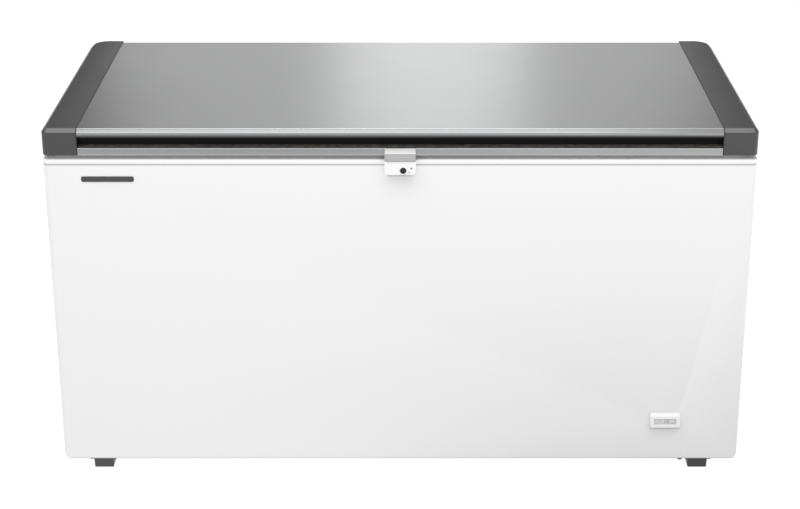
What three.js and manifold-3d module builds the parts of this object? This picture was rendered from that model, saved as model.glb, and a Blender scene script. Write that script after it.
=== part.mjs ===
// A commercial chest freezer: a foamed white cabinet on four short feet, a compressor in a recess at the
// lower right, a stainless steel lid with grey end caps on two spring hinges, and a lock at the front.
// Millimetres. x runs along the front, z is up, and y runs back from the cabinet's front face at 0. The
// last group moves the origin to the middle of the footprint, on the floor.

import * as THREE from "three";
import { mergeVertices } from "three/addons/utils/BufferGeometryUtils.js";
import Module from "manifold-3d";

const wasm = await Module();
wasm.setup();

// Driving dimensions.
const WIDTH = 1647; // over the top rim
const DEPTH = 809; // from the lock's face to the hinge barrels
const HEIGHT = 875; // from the floor to the lid's top
const LOCK_PROUD = 22; // how far the lock stands out of the front
const HINGE_PROUD = 12; // how far the hinges stand out of the back
const FOOT_HEIGHT = 31.5;
const LID_THICKNESS = 63.5;
const LID_REAR = 766; // back face of the lid's steel skin
const CAP_WIDTH = 81.5; // end cap, along the front
const CAP_REAR = 779; // back of the end caps
const GASKET_HEIGHT = 9.5; // from the rim to the lid
const WALL = 65; // cabinet wall, liner included
const FLOOR_WALL = 75.5; // cabinet floor, liner included
const SHEET = 1; // cabinet sheet steel
const GAP = 0.3; // left between pieces that touch

// Levels and planes that follow from them.
const BACK = DEPTH - LOCK_PROUD - HINGE_PROUD;
const HALF = WIDTH / 2;
const SHELL_HALF = HALF - 1;
const BOTTOM = FOOT_HEIGHT;
const LID_TOP = HEIGHT;
const LID_BOTTOM = LID_TOP - LID_THICKNESS;
const RIM_TOP = LID_BOTTOM - GASKET_HEIGHT;
const RIM_BOTTOM = RIM_TOP - 10;
const LID_HALF = HALF - 2;
const CAP_INNER = LID_HALF - CAP_WIDTH;
const LINER_HALF = HALF - 1 - WALL;
const LINER_FRONT = WALL;
const LINER_BACK = BACK - WALL;
const LINER_FLOOR = BOTTOM + FLOOR_WALL;
const STEP = { x: 450, z: LINER_FLOOR + 280 }; // the liner's step over the compressor
const LEDGE = RIM_TOP - 35; // shoulder inside the rim, which the basket hangs on
const MACHINE = { x0: 500, x1: 800, y0: 32, z1: STEP.z - 55 }; // the compressor's recess

// ---- Outlines, bodies and solids ------------------------------------------------------------------

// An outline from corners [x, y, radius]; a corner with a radius is rounded by an arc.
function outline(corners, steps = 4) {
  const points = [];
  corners.forEach(([x, y, radius = 0], i) => {
    const corner = new THREE.Vector2(x, y);
    if (!radius) {
      points.push(corner);
      return;
    }
    const [before, after] = [corners.at(i - 1), corners[(i + 1) % corners.length]].map(
      ([a, b]) => new THREE.Vector2(a, b).sub(corner).normalize(),
    );
    const half = Math.acos(before.dot(after)) / 2;
    const centre = before.clone().add(after).setLength(radius / Math.sin(half)).add(corner);
    const start = before.multiplyScalar(radius / Math.tan(half)).add(corner).sub(centre);
    const end = after.multiplyScalar(radius / Math.tan(half)).add(corner).sub(centre);
    const turn = Math.atan2(start.cross(end), start.dot(end));
    for (let k = 0; k <= steps; k++)
      points.push(start.clone().rotateAround(new THREE.Vector2(), (turn * k) / steps).add(centre));
  });
  return new THREE.Shape(points);
}

function rectangle([x0, x1], [y0, y1], radius = 0, steps = 4) {
  const corners = [[x0, y0, radius], [x1, y0, radius], [x1, y1, radius], [x0, y1, radius]];
  return outline(corners, steps);
}

function circle(x, y, radius, sides = 20) {
  const shape = new THREE.Shape();
  for (let k = 0; k < sides; k++) {
    const angle = (2 * Math.PI * k) / sides;
    const point = [x + radius * Math.cos(angle), y + radius * Math.sin(angle)];
    if (k) shape.lineTo(...point);
    else shape.moveTo(...point);
  }
  return shape;
}

// A three.js geometry as a manifold-3d solid, which can be joined and cut.
function solid(geometry) {
  const bare = geometry.index ? geometry.toNonIndexed() : geometry.clone();
  for (const name of Object.keys(bare.attributes)) if (name !== "position") bare.deleteAttribute(name);
  const merged = mergeVertices(bare, 1e-3);
  return new wasm.Manifold(
    new wasm.Mesh({
      numProp: 3,
      vertProperties: merged.attributes.position.array,
      triVerts: new Uint32Array(merged.index.array),
    }),
  );
}

function geometryOf(manifold) {
  const { vertProperties, triVerts } = manifold.getMesh();
  const geometry = new THREE.BufferGeometry();
  geometry.setAttribute("position", new THREE.BufferAttribute(vertProperties, 3));
  geometry.setIndex(new THREE.BufferAttribute(triVerts, 1));
  const flat = geometry.toNonIndexed();
  flat.computeVertexNormals();
  return flat;
}

function extrude(shape, depth) {
  return new THREE.ExtrudeGeometry(shape, { depth, bevelEnabled: false, curveSegments: 4 });
}

// A shape of x and y, pulled up from z0 to z1.
function alongZ(shape, [z0, z1]) {
  return solid(extrude(shape, z1 - z0).translate(0, 0, z0));
}

// A shape of y and z, pulled along x.
function alongX(shape, [x0, x1]) {
  const turn = new THREE.Matrix4().set(0, 0, 1, x0, 1, 0, 0, 0, 0, 1, 0, 0, 0, 0, 0, 1);
  return solid(extrude(shape, x1 - x0).applyMatrix4(turn));
}

// A shape of x and z, pulled along y.
function alongY(shape, [y0, y1]) {
  return solid(extrude(shape, y1 - y0).rotateX(Math.PI / 2).translate(0, y1, 0));
}

function block([x0, x1], [y0, y1], [z0, z1]) {
  const box = new THREE.BoxGeometry(x1 - x0, y1 - y0, z1 - z0);
  return solid(box.translate((x0 + x1) / 2, (y0 + y1) / 2, (z0 + z1) / 2));
}

// A profile of [radius, height] from axis to axis, turned about a vertical axis at x, y.
function turned(profile, x, y, sides = 24) {
  const points = profile.map(([r, z]) => new THREE.Vector2(r, z));
  return solid(new THREE.LatheGeometry(points, sides).rotateX(Math.PI / 2).translate(x, y, 0));
}

// A closed frame: each [inset, height, front radius, rear radius] of the section becomes one loop.
function frame([x0, x1], [y0, y1], section, steps = 5) {
  const loops = section.map(([inset, z, front, rear = front]) => {
    const [left, right, near, far] = [x0 + inset, x1 - inset, y0 + inset, y1 - inset];
    const corners = [[left, near, front], [right, near, front], [right, far, rear], [left, far, rear]];
    return outline(corners, steps)
      .getPoints()
      .slice(0, 4 * (steps + 1))
      .map((p) => [p.x, p.y, z]);
  });
  const count = loops[0].length;
  const index = [];
  for (let i = 0; i < loops.length; i++)
    for (let k = 0; k < count; k++) {
      const [here, next] = [i * count, ((i + 1) % loops.length) * count];
      const ahead = (k + 1) % count;
      index.push(here + k, here + ahead, next + ahead, here + k, next + ahead, next + k);
    }
  const geometry = new THREE.BufferGeometry();
  geometry.setAttribute("position", new THREE.Float32BufferAttribute(loops.flat(2), 3));
  geometry.setIndex(index);
  return solid(geometry);
}

// A pipe's centre line through corner points, with every corner bent to one radius. Each straight is
// one step and each bend is a few, so that a long pipe stays light.
class PipeRun extends THREE.Curve {
  constructor(corners, bend, bendSteps = 4) {
    super();
    const points = corners.map((c) => new THREE.Vector3(...c));
    this.stations = [[points[0], points[1].clone().sub(points[0]).normalize()]];
    for (let i = 1; i < points.length - 1; i++) {
      const into = points[i].clone().sub(points[i - 1]).normalize();
      const out = points[i + 1].clone().sub(points[i]).normalize();
      const angle = into.angleTo(out);
      const reach = bend * Math.tan(angle / 2);
      const start = points[i].clone().addScaledVector(into, -reach);
      const inward = out.clone().addScaledVector(into, -out.dot(into)).normalize();
      for (let k = 0; k <= bendSteps; k++) {
        const a = (angle * k) / bendSteps;
        const along = start
          .clone()
          .addScaledVector(into, bend * Math.sin(a))
          .addScaledVector(inward, bend * (1 - Math.cos(a)));
        const heading = into.clone().multiplyScalar(Math.cos(a)).addScaledVector(inward, Math.sin(a));
        this.stations.push([along, heading]);
      }
    }
    this.stations.push([points.at(-1), points.at(-1).clone().sub(points.at(-2)).normalize()]);
  }
  get steps() {
    return this.stations.length - 1;
  }
  getPointAt(t) {
    return this.stations[Math.round(t * this.steps)][0].clone();
  }
  getTangentAt(t) {
    return this.stations[Math.round(t * this.steps)][1].clone();
  }
}

class Helix extends THREE.Curve {
  constructor(radius, pitch, turns) {
    super();
    Object.assign(this, { radius, pitch, turns });
  }
  getPoint(t) {
    const angle = 2 * Math.PI * this.turns * t;
    const [y, z] = [this.radius * Math.cos(angle), this.radius * Math.sin(angle)];
    return new THREE.Vector3(this.pitch * this.turns * t, y, z);
  }
}

function pipe(curve, radius, steps, sides = 8) {
  const section = circle(0, 0, radius, sides);
  return solid(new THREE.ExtrudeGeometry(section, { steps, bevelEnabled: false, extrudePath: curve }));
}

function bentPipe(corners, radius, bend, sides = 8) {
  const run = new PipeRun(corners, bend);
  return pipe(run, radius, run.steps, sides);
}

const finish = (color, roughness, metalness = 0) =>
  new THREE.MeshStandardMaterial({ color, roughness, metalness });
const PAINTED_WHITE = finish(0xf1f1f2, 0.35);
const WHITE_PLASTIC = finish(0xf4f4f4, 0.4);
const GREY_PLASTIC = finish(0x565656, 0.45);
const BLACK_PLASTIC = finish(0x141414, 0.5);
const STAINLESS = finish(0xb6b8ba, 0.35, 1);
const ALUMINIUM = finish(0xcfd0d1, 0.35, 1);
const LINER_ALUMINIUM = finish(0xe6e7e8, 0.45, 0.2);
const GALVANISED = finish(0x9a9da0, 0.5, 1);
const FOAM = finish(0xe8d9a8, 0.95);
const SEAL = finish(0x8e8f90, 0.8);
const RUBBER = finish(0x1b1b1b, 0.8);
const COPPER = finish(0xb87850, 0.35, 1);
const BLACK_PAINT = finish(0x1a1a1c, 0.4);
const CAST_GREY = finish(0xb4b5b6, 0.4, 0.6);
const WIRE_WHITE = finish(0xf0f0f0, 0.4);
const CLEAR = finish(0xdfe6e6, 0.05);
const DISPLAY = finish(0xc4c9c2, 0.3);

function piece(name, manifold, material) {
  const mesh = new THREE.Mesh(geometryOf(manifold), material);
  mesh.name = name;
  return mesh;
}

// ---- Cabinet --------------------------------------------------------------------------------------

const CORNER = 15; // outer radius of the cabinet's upright and lower edges
const BACK_SHEET = 1.2;
const BASE_SHEET = 1.5;
const GRILLE = { y: [300, 700], z: [BOTTOM + 45, BOTTOM + 245], depth: 14 }; // in the right side
const REAR_HATCH = { x: [530, 790], z: [BOTTOM + 30, BOTTOM + 270] }; // opening in the back
const GAUGE = { x: 640.8, z: 134.5, width: 72, height: 32.7 }; // thermometer on the front
const DRAIN = { x: -600, y: 130, radius: 9 };

// The outer form of the cabinet, taken in by some distance, from the front to y1.
function cabinetForm(inset, y1, z1) {
  const [half, front, low] = [SHELL_HALF - inset, inset, BOTTOM + inset];
  const radius = CORNER - inset;
  const plan = outline([[-half, front, radius], [half, front, radius], [half, y1], [-half, y1]]);
  const face = outline([[-half, low, radius], [half, low, radius], [half, z1], [-half, z1]]);
  return alongZ(plan, [low - 1, z1]).intersect(alongY(face, [front - 1, y1]));
}

function outerShell() {
  const flange = 20;
  const inside = SHELL_HALF - flange;
  return cabinetForm(0, BACK, RIM_BOTTOM - GAP)
    .subtract(cabinetForm(SHEET, BACK + 10, HEIGHT))
    .subtract(block([-inside, inside], [flange, BACK + 10], [BOTTOM - 5, BOTTOM + 5]))
    .subtract(block([HALF - 10, HALF + 5], GRILLE.y, GRILLE.z))
    .subtract(block([GAUGE.x - 30, GAUGE.x + 30], [-5, 5], [GAUGE.z - 13, GAUGE.z + 13]));
}

function backPanel() {
  const inset = SHEET + GAP;
  const [half, low, radius] = [SHELL_HALF - inset, BOTTOM + inset, CORNER - inset];
  const top = RIM_BOTTOM - GAP;
  const face = outline([[-half, low, radius], [half, low, radius], [half, top], [-half, top]]);
  return alongY(face, [BACK - BACK_SHEET, BACK])
    .subtract(block(REAR_HATCH.x, [BACK - 5, BACK + 5], REAR_HATCH.z));
}

function basePlate() {
  const low = BOTTOM + SHEET + GAP;
  const half = SHELL_HALF - CORNER - 1.5;
  const plate = block([-half, half], [8, BACK - 3], [low, low + BASE_SHEET]);
  return plate.subtract(alongZ(circle(DRAIN.x, DRAIN.y, DRAIN.radius + 3.5), [BOTTOM - 5, BOTTOM + 10]));
}

const OPENING = { inset: 57, radius: 45 }; // the rim's inner edge, measured in from its outer face

// White plastic frame that caps the walls, with a rounded outer bead, and a shoulder inside it.
function topRim() {
  const [outer, inner] = [CORNER + 1, OPENING.radius];
  const { inset } = OPENING;
  const shoulder = LEDGE;
  const rear = 3;
  const section = [
    [0, RIM_BOTTOM, outer, rear],
    [0, RIM_TOP - 4, outer, rear],
    [1.2, RIM_TOP - 1.2, outer - 1, rear],
    [4, RIM_TOP, outer - 3, rear],
    [inset - 2, RIM_TOP, inner],
    [inset, RIM_TOP - 2, inner],
    [inset, shoulder, inner],
    [inset + 9.5, shoulder, inner - 7],
    [inset + 9.5, shoulder - 2, inner - 7],
    [inset + 7, shoulder - 2, inner - 5],
    [inset + 7, shoulder - 12, inner - 5],
    [inset + 4, shoulder - 12, inner - 2],
    [inset + 4, shoulder - 2, inner - 2],
    [inset - 2, shoulder - 2, inner],
    [inset - 2, RIM_TOP - 2, inner],
    [2, RIM_TOP - 2, outer - 2, 0.5],
    [2, RIM_BOTTOM, outer - 2, 0.5],
  ];
  return frame([-HALF, HALF], [-1, BACK + 1], section);
}

const LINER_CORNER = 40;

// The storage space, grown outwards by some distance.
function linerForm(grow, top) {
  const [left, right] = [-LINER_HALF - grow, LINER_HALF + grow];
  const [floor, step] = [LINER_FLOOR - grow, STEP.z - grow];
  const wall = STEP.x + grow;
  const side = outline([
    [left, floor, 25 + grow],
    [wall, floor, 25 + grow],
    [wall, step, 22 - grow],
    [right, step, 25 + grow],
    [right, top],
    [left, top],
  ]);
  const plan = rectangle(
    [left, right],
    [LINER_FRONT - grow, LINER_BACK + grow],
    LINER_CORNER + grow,
    5,
  );
  return alongY(side, [0, BACK]).intersect(alongZ(plan, [0, HEIGHT]));
}

const LINER_SHEET = 1.2;

function innerLiner() {
  const hole = circle(DRAIN.x, DRAIN.y, DRAIN.radius + 0.5);
  const drainHole = alongZ(hole, [LINER_FLOOR - 5, LINER_FLOOR + 5]);
  return linerForm(LINER_SHEET, LEDGE - 2 - GAP).subtract(linerForm(0, HEIGHT)).subtract(drainHole);
}

const COIL = { low: LINER_FLOOR + 310, high: LEDGE - 30, turns: 5, offset: 7, radius: 4 };
const CONDENSER = { x: [-780, 470], low: 215, high: 695, runs: 7, y: 5.6, radius: 3 };

// Polyurethane foam, foamed in place: it fills every wall between the shell and the liner.
function insulationFoam() {
  const opening = (inset, radius, levels) => {
    const plan = rectangle([inset - HALF, HALF - inset], [inset - 1, BACK + 1 - inset], radius, 5);
    return alongZ(plan, levels);
  };
  const { inset, radius } = OPENING;
  const coilInset = HALF - LINER_HALF - COIL.offset - COIL.radius - 2;
  const skinOff = LINER_SHEET + GAP;
  const [x0, x1] = CONDENSER.x;
  return cabinetForm(SHEET + GAP, BACK - BACK_SHEET - GAP, RIM_TOP - 2 - GAP)
    .subtract(block([-HALF, HALF], [0, BACK], [BOTTOM, BOTTOM + SHEET + BASE_SHEET + 0.7]))
    .subtract(linerForm(skinOff, HEIGHT))
    .subtract(opening(inset + 4 - GAP, radius - 2, [LEDGE - 12 - GAP, HEIGHT]))
    .subtract(opening(inset - 2 - GAP, radius, [LEDGE - 2 - GAP, HEIGHT]))
    .subtract(opening(coilInset, LINER_CORNER + 8, [COIL.low - 12, COIL.high + 12]))
    .subtract(block([x0 - 40, x1 + 40], [0, CONDENSER.y + 4], [CONDENSER.low - 10, CONDENSER.high + 10]))
    .subtract(block([MACHINE.x0, MACHINE.x1], [MACHINE.y0, BACK], [BOTTOM, MACHINE.z1]))
    .subtract(block([MACHINE.x1 - 5, HALF], GRILLE.y, GRILLE.z))
    .subtract(block([GAUGE.x - 31, GAUGE.x + 31], [0, MACHINE.y0 + 5], [GAUGE.z - 14, GAUGE.z + 14]))
    .subtract(alongZ(circle(PROBE.x, PROBE.y, 3.5, 12), [MACHINE.z1 - 5, COIL.low]))
    .subtract(alongZ(circle(DRAIN.x, DRAIN.y, DRAIN.radius + 4), [BOTTOM, LINER_FLOOR + 5]));
}

// Flat grille over the compressor's recess, with a plain pad for the thermostat knob.
function sideGrille() {
  const [x0, x1] = [SHELL_HALF - GRILLE.depth, SHELL_HALF - GAP];
  const [y0, y1] = [GRILLE.y[0] + GAP, GRILLE.y[1] - GAP];
  const [z0, z1] = [GRILLE.z[0] + GAP, GRILLE.z[1] - GAP];
  const border = 14;
  let grille = block([x0, x1], [y0, y1], [z0, z1])
    .subtract(block([x0 + PAD, x1 + 5], [y0 + border, y1 - border], [z0 + border, z1 - border]))
    .subtract(alongX(circle(KNOB.y, KNOB.z, 5), [x0 - 5, x1]));
  const pitch = 13;
  for (let z = z0 + border + 8; z < z1 - border - 8; z += pitch)
    grille = grille.subtract(block([x0 - 5, x0 + 5], [KNOB.y + 40, y1 - border - 6], [z, z + 6]));
  return grille;
}

const KNOB = { y: 356, z: BOTTOM + 145, radius: 17 };
const PAD = 3; // thickness of the grille's sunk face

const COVER_PROUD = 2;
const VENTS = { first: 60, pitch: 16, height: 7 }; // the cover's vents, measured from the hatch's low edge

// Flat cover over the recess at the back, with a ladder of vents.
function rearCover() {
  const [x0, x1] = REAR_HATCH.x;
  const [z0, z1] = REAR_HATCH.z;
  const edge = 12;
  let cover = block([x0 - edge, x1 + edge], [BACK + GAP, BACK + COVER_PROUD], [z0 - edge, z1 + edge]);
  for (let z = z0 + VENTS.first; z < z1 - 20; z += VENTS.pitch)
    cover = cover.subtract(block([x0 + 20, x1 - 20], [BACK - 5, BACK + 5], [z, z + VENTS.height]));
  return cover;
}

// Plain bushing in the cover, where the mains lead goes through.
function cordGland() {
  const [x, z, y] = [REAR_HATCH.x[0] + 20, REAR_HATCH.z[0] + 20, BACK + COVER_PROUD + GAP];
  const bore = circle(x, z, 3.6, 16);
  return alongY(rectangle([x - 11, x + 11], [z - 9, z + 9], 3), [y, y + 3])
    .add(alongY(circle(x, z, 7, 16), [y + 2, y + 9]))
    .subtract(alongY(bore, [y - 5, y + 20]));
}

// Moulded foot: a slightly tapered block that flares into a square flange.
function foot() {
  const [bottom, top, flare, flange] = [23, 24, 27, 33.5];
  const under = FOOT_HEIGHT - 3;
  const half = [
    [bottom, 0, 3],
    [top, under - 4],
    [flare, under - 1],
    [flange, under],
    [flange, FOOT_HEIGHT - GAP],
  ];
  const mirrored = half.map(([a, z, r]) => [-a, z, r]).reverse();
  const side = outline([...half, ...mirrored], 2);
  const plan = rectangle([-flange, flange], [-flange, flange], 5);
  return alongX(side, [-flange, flange])
    .intersect(alongY(side, [-flange, flange]))
    .intersect(alongZ(plan, [-1, FOOT_HEIGHT]));
}

const FOOT_X = 728;
const FOOT_FRONT = 35.5;

function feet() {
  const places = {
    foot_front_left: [-FOOT_X, FOOT_FRONT],
    foot_front_right: [FOOT_X, FOOT_FRONT],
    foot_rear_left: [-FOOT_X, BACK - FOOT_FRONT],
    foot_rear_right: [FOOT_X, BACK - FOOT_FRONT],
  };
  return Object.entries(places).map(([name, [x, y]]) => {
    const mesh = piece(name, foot(), GREY_PLASTIC);
    mesh.position.set(x, y, 0);
    return mesh;
  });
}

const BASE_BOLT = { x: 684, y: 10, radius: 6.7, height: 6.5 };

// Domed head of the bolt that holds the base plate, under the front edge.
function baseBolt() {
  const { x, y, radius, height } = BASE_BOLT;
  const high = BOTTOM - GAP;
  const low = high - height;
  const dome = [[0, low], [radius * 0.7, low], [radius, low + 2.5], [radius, high], [0, high]];
  return turned(dome, x, y, 20);
}

const BADGE = { x: [-735, -614], z: [748, 761] };

// Plain bar, stuck on the front.
function frontBadge() {
  return alongY(rectangle(BADGE.x, BADGE.z, 3, 3), [-1.6, -GAP]);
}

// ---- Drain ----------------------------------------------------------------------------------------

function drainPipe() {
  const low = BOTTOM - 14;
  const tube = alongZ(circle(DRAIN.x, DRAIN.y, DRAIN.radius + 3), [low, LINER_FLOOR - LINER_SHEET - GAP]);
  return tube.subtract(alongZ(circle(DRAIN.x, DRAIN.y, DRAIN.radius + 0.7), [low - 5, LINER_FLOOR]));
}

function drainPlug() {
  const { x, y, radius } = DRAIN;
  const profile = [
    [0, LINER_FLOOR - 14],
    [radius - 1, LINER_FLOOR - 14],
    [radius, LINER_FLOOR - 11],
    [radius, LINER_FLOOR + GAP],
    [radius + 6, LINER_FLOOR + GAP],
    [radius + 5, LINER_FLOOR + 3],
    [5, LINER_FLOOR + 4],
    [5, LINER_FLOOR + 12],
    [0, LINER_FLOOR + 12],
  ];
  return turned(profile, x, y, 20);
}

// Quarter-turn cap over the pipe's lower end, with a finger bar across it.
function drainCap() {
  const { x, y, radius } = DRAIN;
  const [low, mouth] = [6, BOTTOM - 5];
  const cup = alongZ(circle(x, y, radius + 7, 24), [low + 4, mouth])
    .subtract(alongZ(circle(x, y, radius + 3.5, 24), [low + 8, mouth + 5]));
  return cup.add(block([x - radius - 5, x + radius + 5], [y - 2.5, y + 2.5], [low, low + 5]));
}

// ---- Refrigeration --------------------------------------------------------------------------------

// One tube wound round the upper liner.
function evaporatorCoil() {
  const { low, high, turns, offset, radius } = COIL;
  const [x, front, back] = [LINER_HALF + offset, LINER_FRONT - offset, LINER_BACK + offset];
  const plan = [[x, front], [x, back], [-x, back], [-x, front]];
  const corners = [[0, front, low]];
  for (let k = 0; k < 4 * turns; k++)
    corners.push([...plan[k % 4], low + ((high - low) * (k + 0.5)) / (4 * turns)]);
  corners.push([0, front, high]);
  return bentPipe(corners, radius, LINER_CORNER + offset, 6);
}

// One tube folded up behind the front sheet, which gives off the heat.
function condenserCoil() {
  const { x, low, high, runs, y, radius } = CONDENSER;
  const pitch = (high - low) / (runs - 1);
  const corners = [];
  for (let k = 0; k < runs; k++) {
    const ends = k % 2 ? [x[1], x[0]] : x;
    corners.push([ends[0], y, low + k * pitch], [ends[1], y, low + k * pitch]);
  }
  return bentPipe(corners, radius, pitch / 2 - 1, 6);
}

const COMPRESSOR = { x: 655, y: 560, radius: 78, low: BOTTOM + 38, high: BOTTOM + 215 };

function compressor() {
  const { x, y, radius, low, high } = COMPRESSOR;
  const seam = (low + high) / 2;
  const profile = [
    [0, low],
    [radius * 0.7, low],
    [radius * 0.93, low + 12],
    [radius, low + 32],
    [radius, seam - 4],
    [radius + 4, seam - 3],
    [radius + 4, seam + 3],
    [radius, seam + 4],
    [radius, high - 38],
    [radius * 0.9, high - 16],
    [radius * 0.62, high - 4],
    [0, high],
  ];
  return turned(profile, x, y);
}

const MOUNT_SPREAD = { x: 75, y: 92 };

function compressorBracket() {
  const { x, y, low } = COMPRESSOR;
  const [a, b] = [MOUNT_SPREAD.x + 16, MOUNT_SPREAD.y + 16];
  let plate = alongZ(rectangle([x - a, x + a], [y - b, y + b], 12), [low - 3, low - GAP]);
  for (const [sx, sy] of MOUNT_CORNERS)
    plate = plate.subtract(
      alongZ(circle(x + sx * MOUNT_SPREAD.x, y + sy * MOUNT_SPREAD.y, 6, 12), [low - 10, low + 5]),
    );
  return plate;
}

const MOUNT_CORNERS = [[-1, -1], [1, -1], [-1, 1], [1, 1]];

// Rubber feet of the compressor, each with a neck through the bracket.
function grommets() {
  const { x, y, low } = COMPRESSOR;
  const base = BOTTOM + SHEET + BASE_SHEET + 2 * GAP;
  return MOUNT_CORNERS.map(([sx, sy], i) => {
    const profile = [
      [0, base],
      [12, base],
      [12, base + 7],
      [9.5, base + 11],
      [12, low - 14],
      [12, low - 3 - GAP],
      [5.5, low - 3 - GAP],
      [5.5, low + 5],
      [0, low + 5],
    ];
    const at = [x + sx * MOUNT_SPREAD.x, y + sy * MOUNT_SPREAD.y];
    return piece(`compressor_grommet_${i + 1}`, turned(profile, ...at, 16), RUBBER);
  });
}

function startRelay() {
  const { x, y, radius, low } = COMPRESSOR;
  const [y0, z0] = [y - radius - 42, low + 45];
  const box = alongZ(rectangle([x - 32, x + 32], [y0, y - radius - 5], 6), [z0, z0 + 62]);
  return box.subtract(block([x - 26, x + 26], [y0 + 4, y - radius + 5], [z0 + 4, z0 + 58]));
}

const DRIER = { x: 540, y: 690, low: BOTTOM + 60, high: BOTTOM + 165 };

function filterDrier() {
  const { x, y, low, high } = DRIER;
  const profile = [
    [0, low],
    [3.5, low],
    [3.5, low + 10],
    [11, low + 20],
    [11, high - 20],
    [3.5, high - 10],
    [3.5, high],
    [0, high],
  ];
  return turned(profile, x, y, 16);
}

function dischargePipe() {
  const { x, y, low, radius } = COMPRESSOR;
  const start = [x - radius - 1, y, low + 50];
  const { x: dx, y: dy, low: end } = DRIER;
  const corners = [
    start,
    [dx + 12, y, low + 50],
    [dx, y + 12, low + 30],
    [dx, dy, BOTTOM + 22],
    [dx, dy, end - GAP],
  ];
  return bentPipe(corners, 3, 9, 6);
}

function suctionPipe() {
  const { x, y, high, radius } = COMPRESSOR;
  const start = [x, y + radius + 1, high - 40];
  return bentPipe([start, [x, y + radius + 50, high - 40], [x, y + radius + 50, MACHINE.z1 - 1]], 4, 20, 8);
}

function thermostat() {
  const x1 = SHELL_HALF - GRILLE.depth - 4;
  const { y, z } = KNOB;
  return block([x1 - 34, x1], [y - 24, y + 24], [z - 20, z + 20])
    .add(alongX(circle(y, z, 8, 16), [x1 - 1, x1 + 2.5]))
    .subtract(alongX(circle(y, z, 4.5, 16), [x1 - 12, x1 + 10]));
}

const PROBE = { x: LINER_HALF + COIL.offset, y: KNOB.y, radius: 2 };

// Capillary from the thermostat to the first turn of the coil, with its bulb.
function thermostatProbe() {
  const { x, y, radius } = PROBE;
  const [low, high] = [KNOB.z + 20 + GAP, COIL.low - COIL.radius - 2];
  const bulb = { radius: 3, length: 31 };
  return alongZ(circle(x, y, radius, 10), [low, high - bulb.length + 1])
    .add(alongZ(circle(x, y, bulb.radius, 12), [high - bulb.length, high]));
}

// Coin-slot knob with its spindle.
function thermostatKnob() {
  const { y, z, radius } = KNOB;
  const plate = SHELL_HALF - GRILLE.depth + PAD;
  return alongX(circle(y, z, radius, 28), [plate + GAP, plate + 8])
    .add(alongX(circle(y, z, 4, 16), [plate - 14, plate + 2]))
    .subtract(block([plate + 4.5, plate + 12], [y - 12, y + 12], [z - 1.4, z + 1.4]));
}

// ---- Thermometer ----------------------------------------------------------------------------------

const WINDOW = { x: [614, 667.5], z: [127.4, 143.7] };
const GAUGE_PROUD = 12;

// Hooded white housing; its back goes through the front sheet.
function gaugeHousing() {
  const [x0, x1] = [GAUGE.x - GAUGE.width / 2, GAUGE.x + GAUGE.width / 2];
  const [z0, z1] = [GAUGE.z - GAUGE.height / 2, GAUGE.z + GAUGE.height / 2];
  const side = outline([[-GAUGE_PROUD, z0, 2], [-GAUGE_PROUD, z1, 3], [-GAP, z1 + 8, 2], [-GAP, z0]], 3);
  return alongX(side, [x0, x1])
    .add(block([GAUGE.x - 29, GAUGE.x + 29], [-1, 22], [GAUGE.z - 12, GAUGE.z + 12]))
    .subtract(block(WINDOW.x, [-20, 19], WINDOW.z));
}

function gaugeDisplay() {
  const [x, z] = [WINDOW.x, WINDOW.z];
  return block([x[0] + GAP, x[1] - GAP], [-4, 14], [z[0] + GAP, z[1] - GAP]);
}

function gaugeWindow() {
  const [x, z] = [WINDOW.x, WINDOW.z];
  return block([x[0] + GAP, x[1] - GAP], [-6, -4.4], [z[0] + GAP, z[1] - GAP]);
}

// ---- Lock -----------------------------------------------------------------------------------------

const KEEPER_FACE = -20;
const LOCK_FACE = -17;
const LOCK = { half: 36, low: 767.5, high: RIM_TOP + 0.5, key: { x: 7, z: 781.5, radius: 7 } };
const BOSS = { face: -20, radius: 10.5 }; // round collar that guards the cylinder
const BOLT = { x: [-3, 17], y: [-14, -8], z: [769.5, 801.5], travel: 8 };
const CRANK = { throw: 4, radius: 1.5 }; // pin behind the cylinder, right of and below its axis

// A range that is wider than another by some distance at both ends.
function wider([a, b], by) {
  return [a - by, b + by];
}

// White housing on the cabinet's front, hollowed for the bolt and bored for the cylinder, with two drain
// slits under the cylinder.
function lockHousing() {
  const { half, low, high, key } = LOCK;
  const face = outline([[-half, low, 12], [half, low, 12], [half, high, 2], [-half, high, 2]]);
  let housing = alongY(face, [LOCK_FACE, -1 - GAP])
    .add(block([-half + 6, half - 6], [-1.5, -GAP], [low + 3, RIM_BOTTOM - 2]))
    .add(alongY(circle(key.x, key.z, BOSS.radius, 28), [BOSS.face, LOCK_FACE + 1]))
    .subtract(block(wider(BOLT.x, 0.5), wider(BOLT.y, 0.5), [BOLT.z[0] - 1, high + 5]))
    .subtract(alongY(circle(key.x, key.z, key.radius + GAP, 24), [BOSS.face - 5, BOLT.y[0]]));
  const slit = { half: 1.6, depth: 4, top: low + 4 };
  for (const x of [key.x - 5.5, key.x + 2.5])
    housing = housing.subtract(
      block([x - slit.half, x + slit.half], [BOSS.face - 5, BOSS.face + slit.depth], [low - 1, slit.top]),
    );
  return housing;
}

function lockCylinder() {
  const { x, z, radius } = LOCK.key;
  const pin = circle(x + CRANK.throw, z - CRANK.throw, CRANK.radius, 10);
  return alongY(circle(x, z, radius, 24), [-LOCK_PROUD, BOLT.y[0] - 0.6])
    .add(alongY(pin, [BOLT.y[0] - 1, BOLT.y[1] - 1]))
    .subtract(block([x - 1, x + 1], [-LOCK_PROUD - 5, -LOCK_PROUD + 4], [z - 4.5, z + 4.5]));
}

// Flat bolt, lifted by the crank pin in its cross slot.
function lockBolt() {
  const { x, z } = LOCK.key;
  const level = z - CRANK.throw;
  return block(BOLT.x, BOLT.y, BOLT.z)
    .subtract(block([x - 1, x + 8.3], [BOLT.y[0] - 5, BOLT.y[1] + 5], [level - 2.3, level + 2.3]));
}

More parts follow.
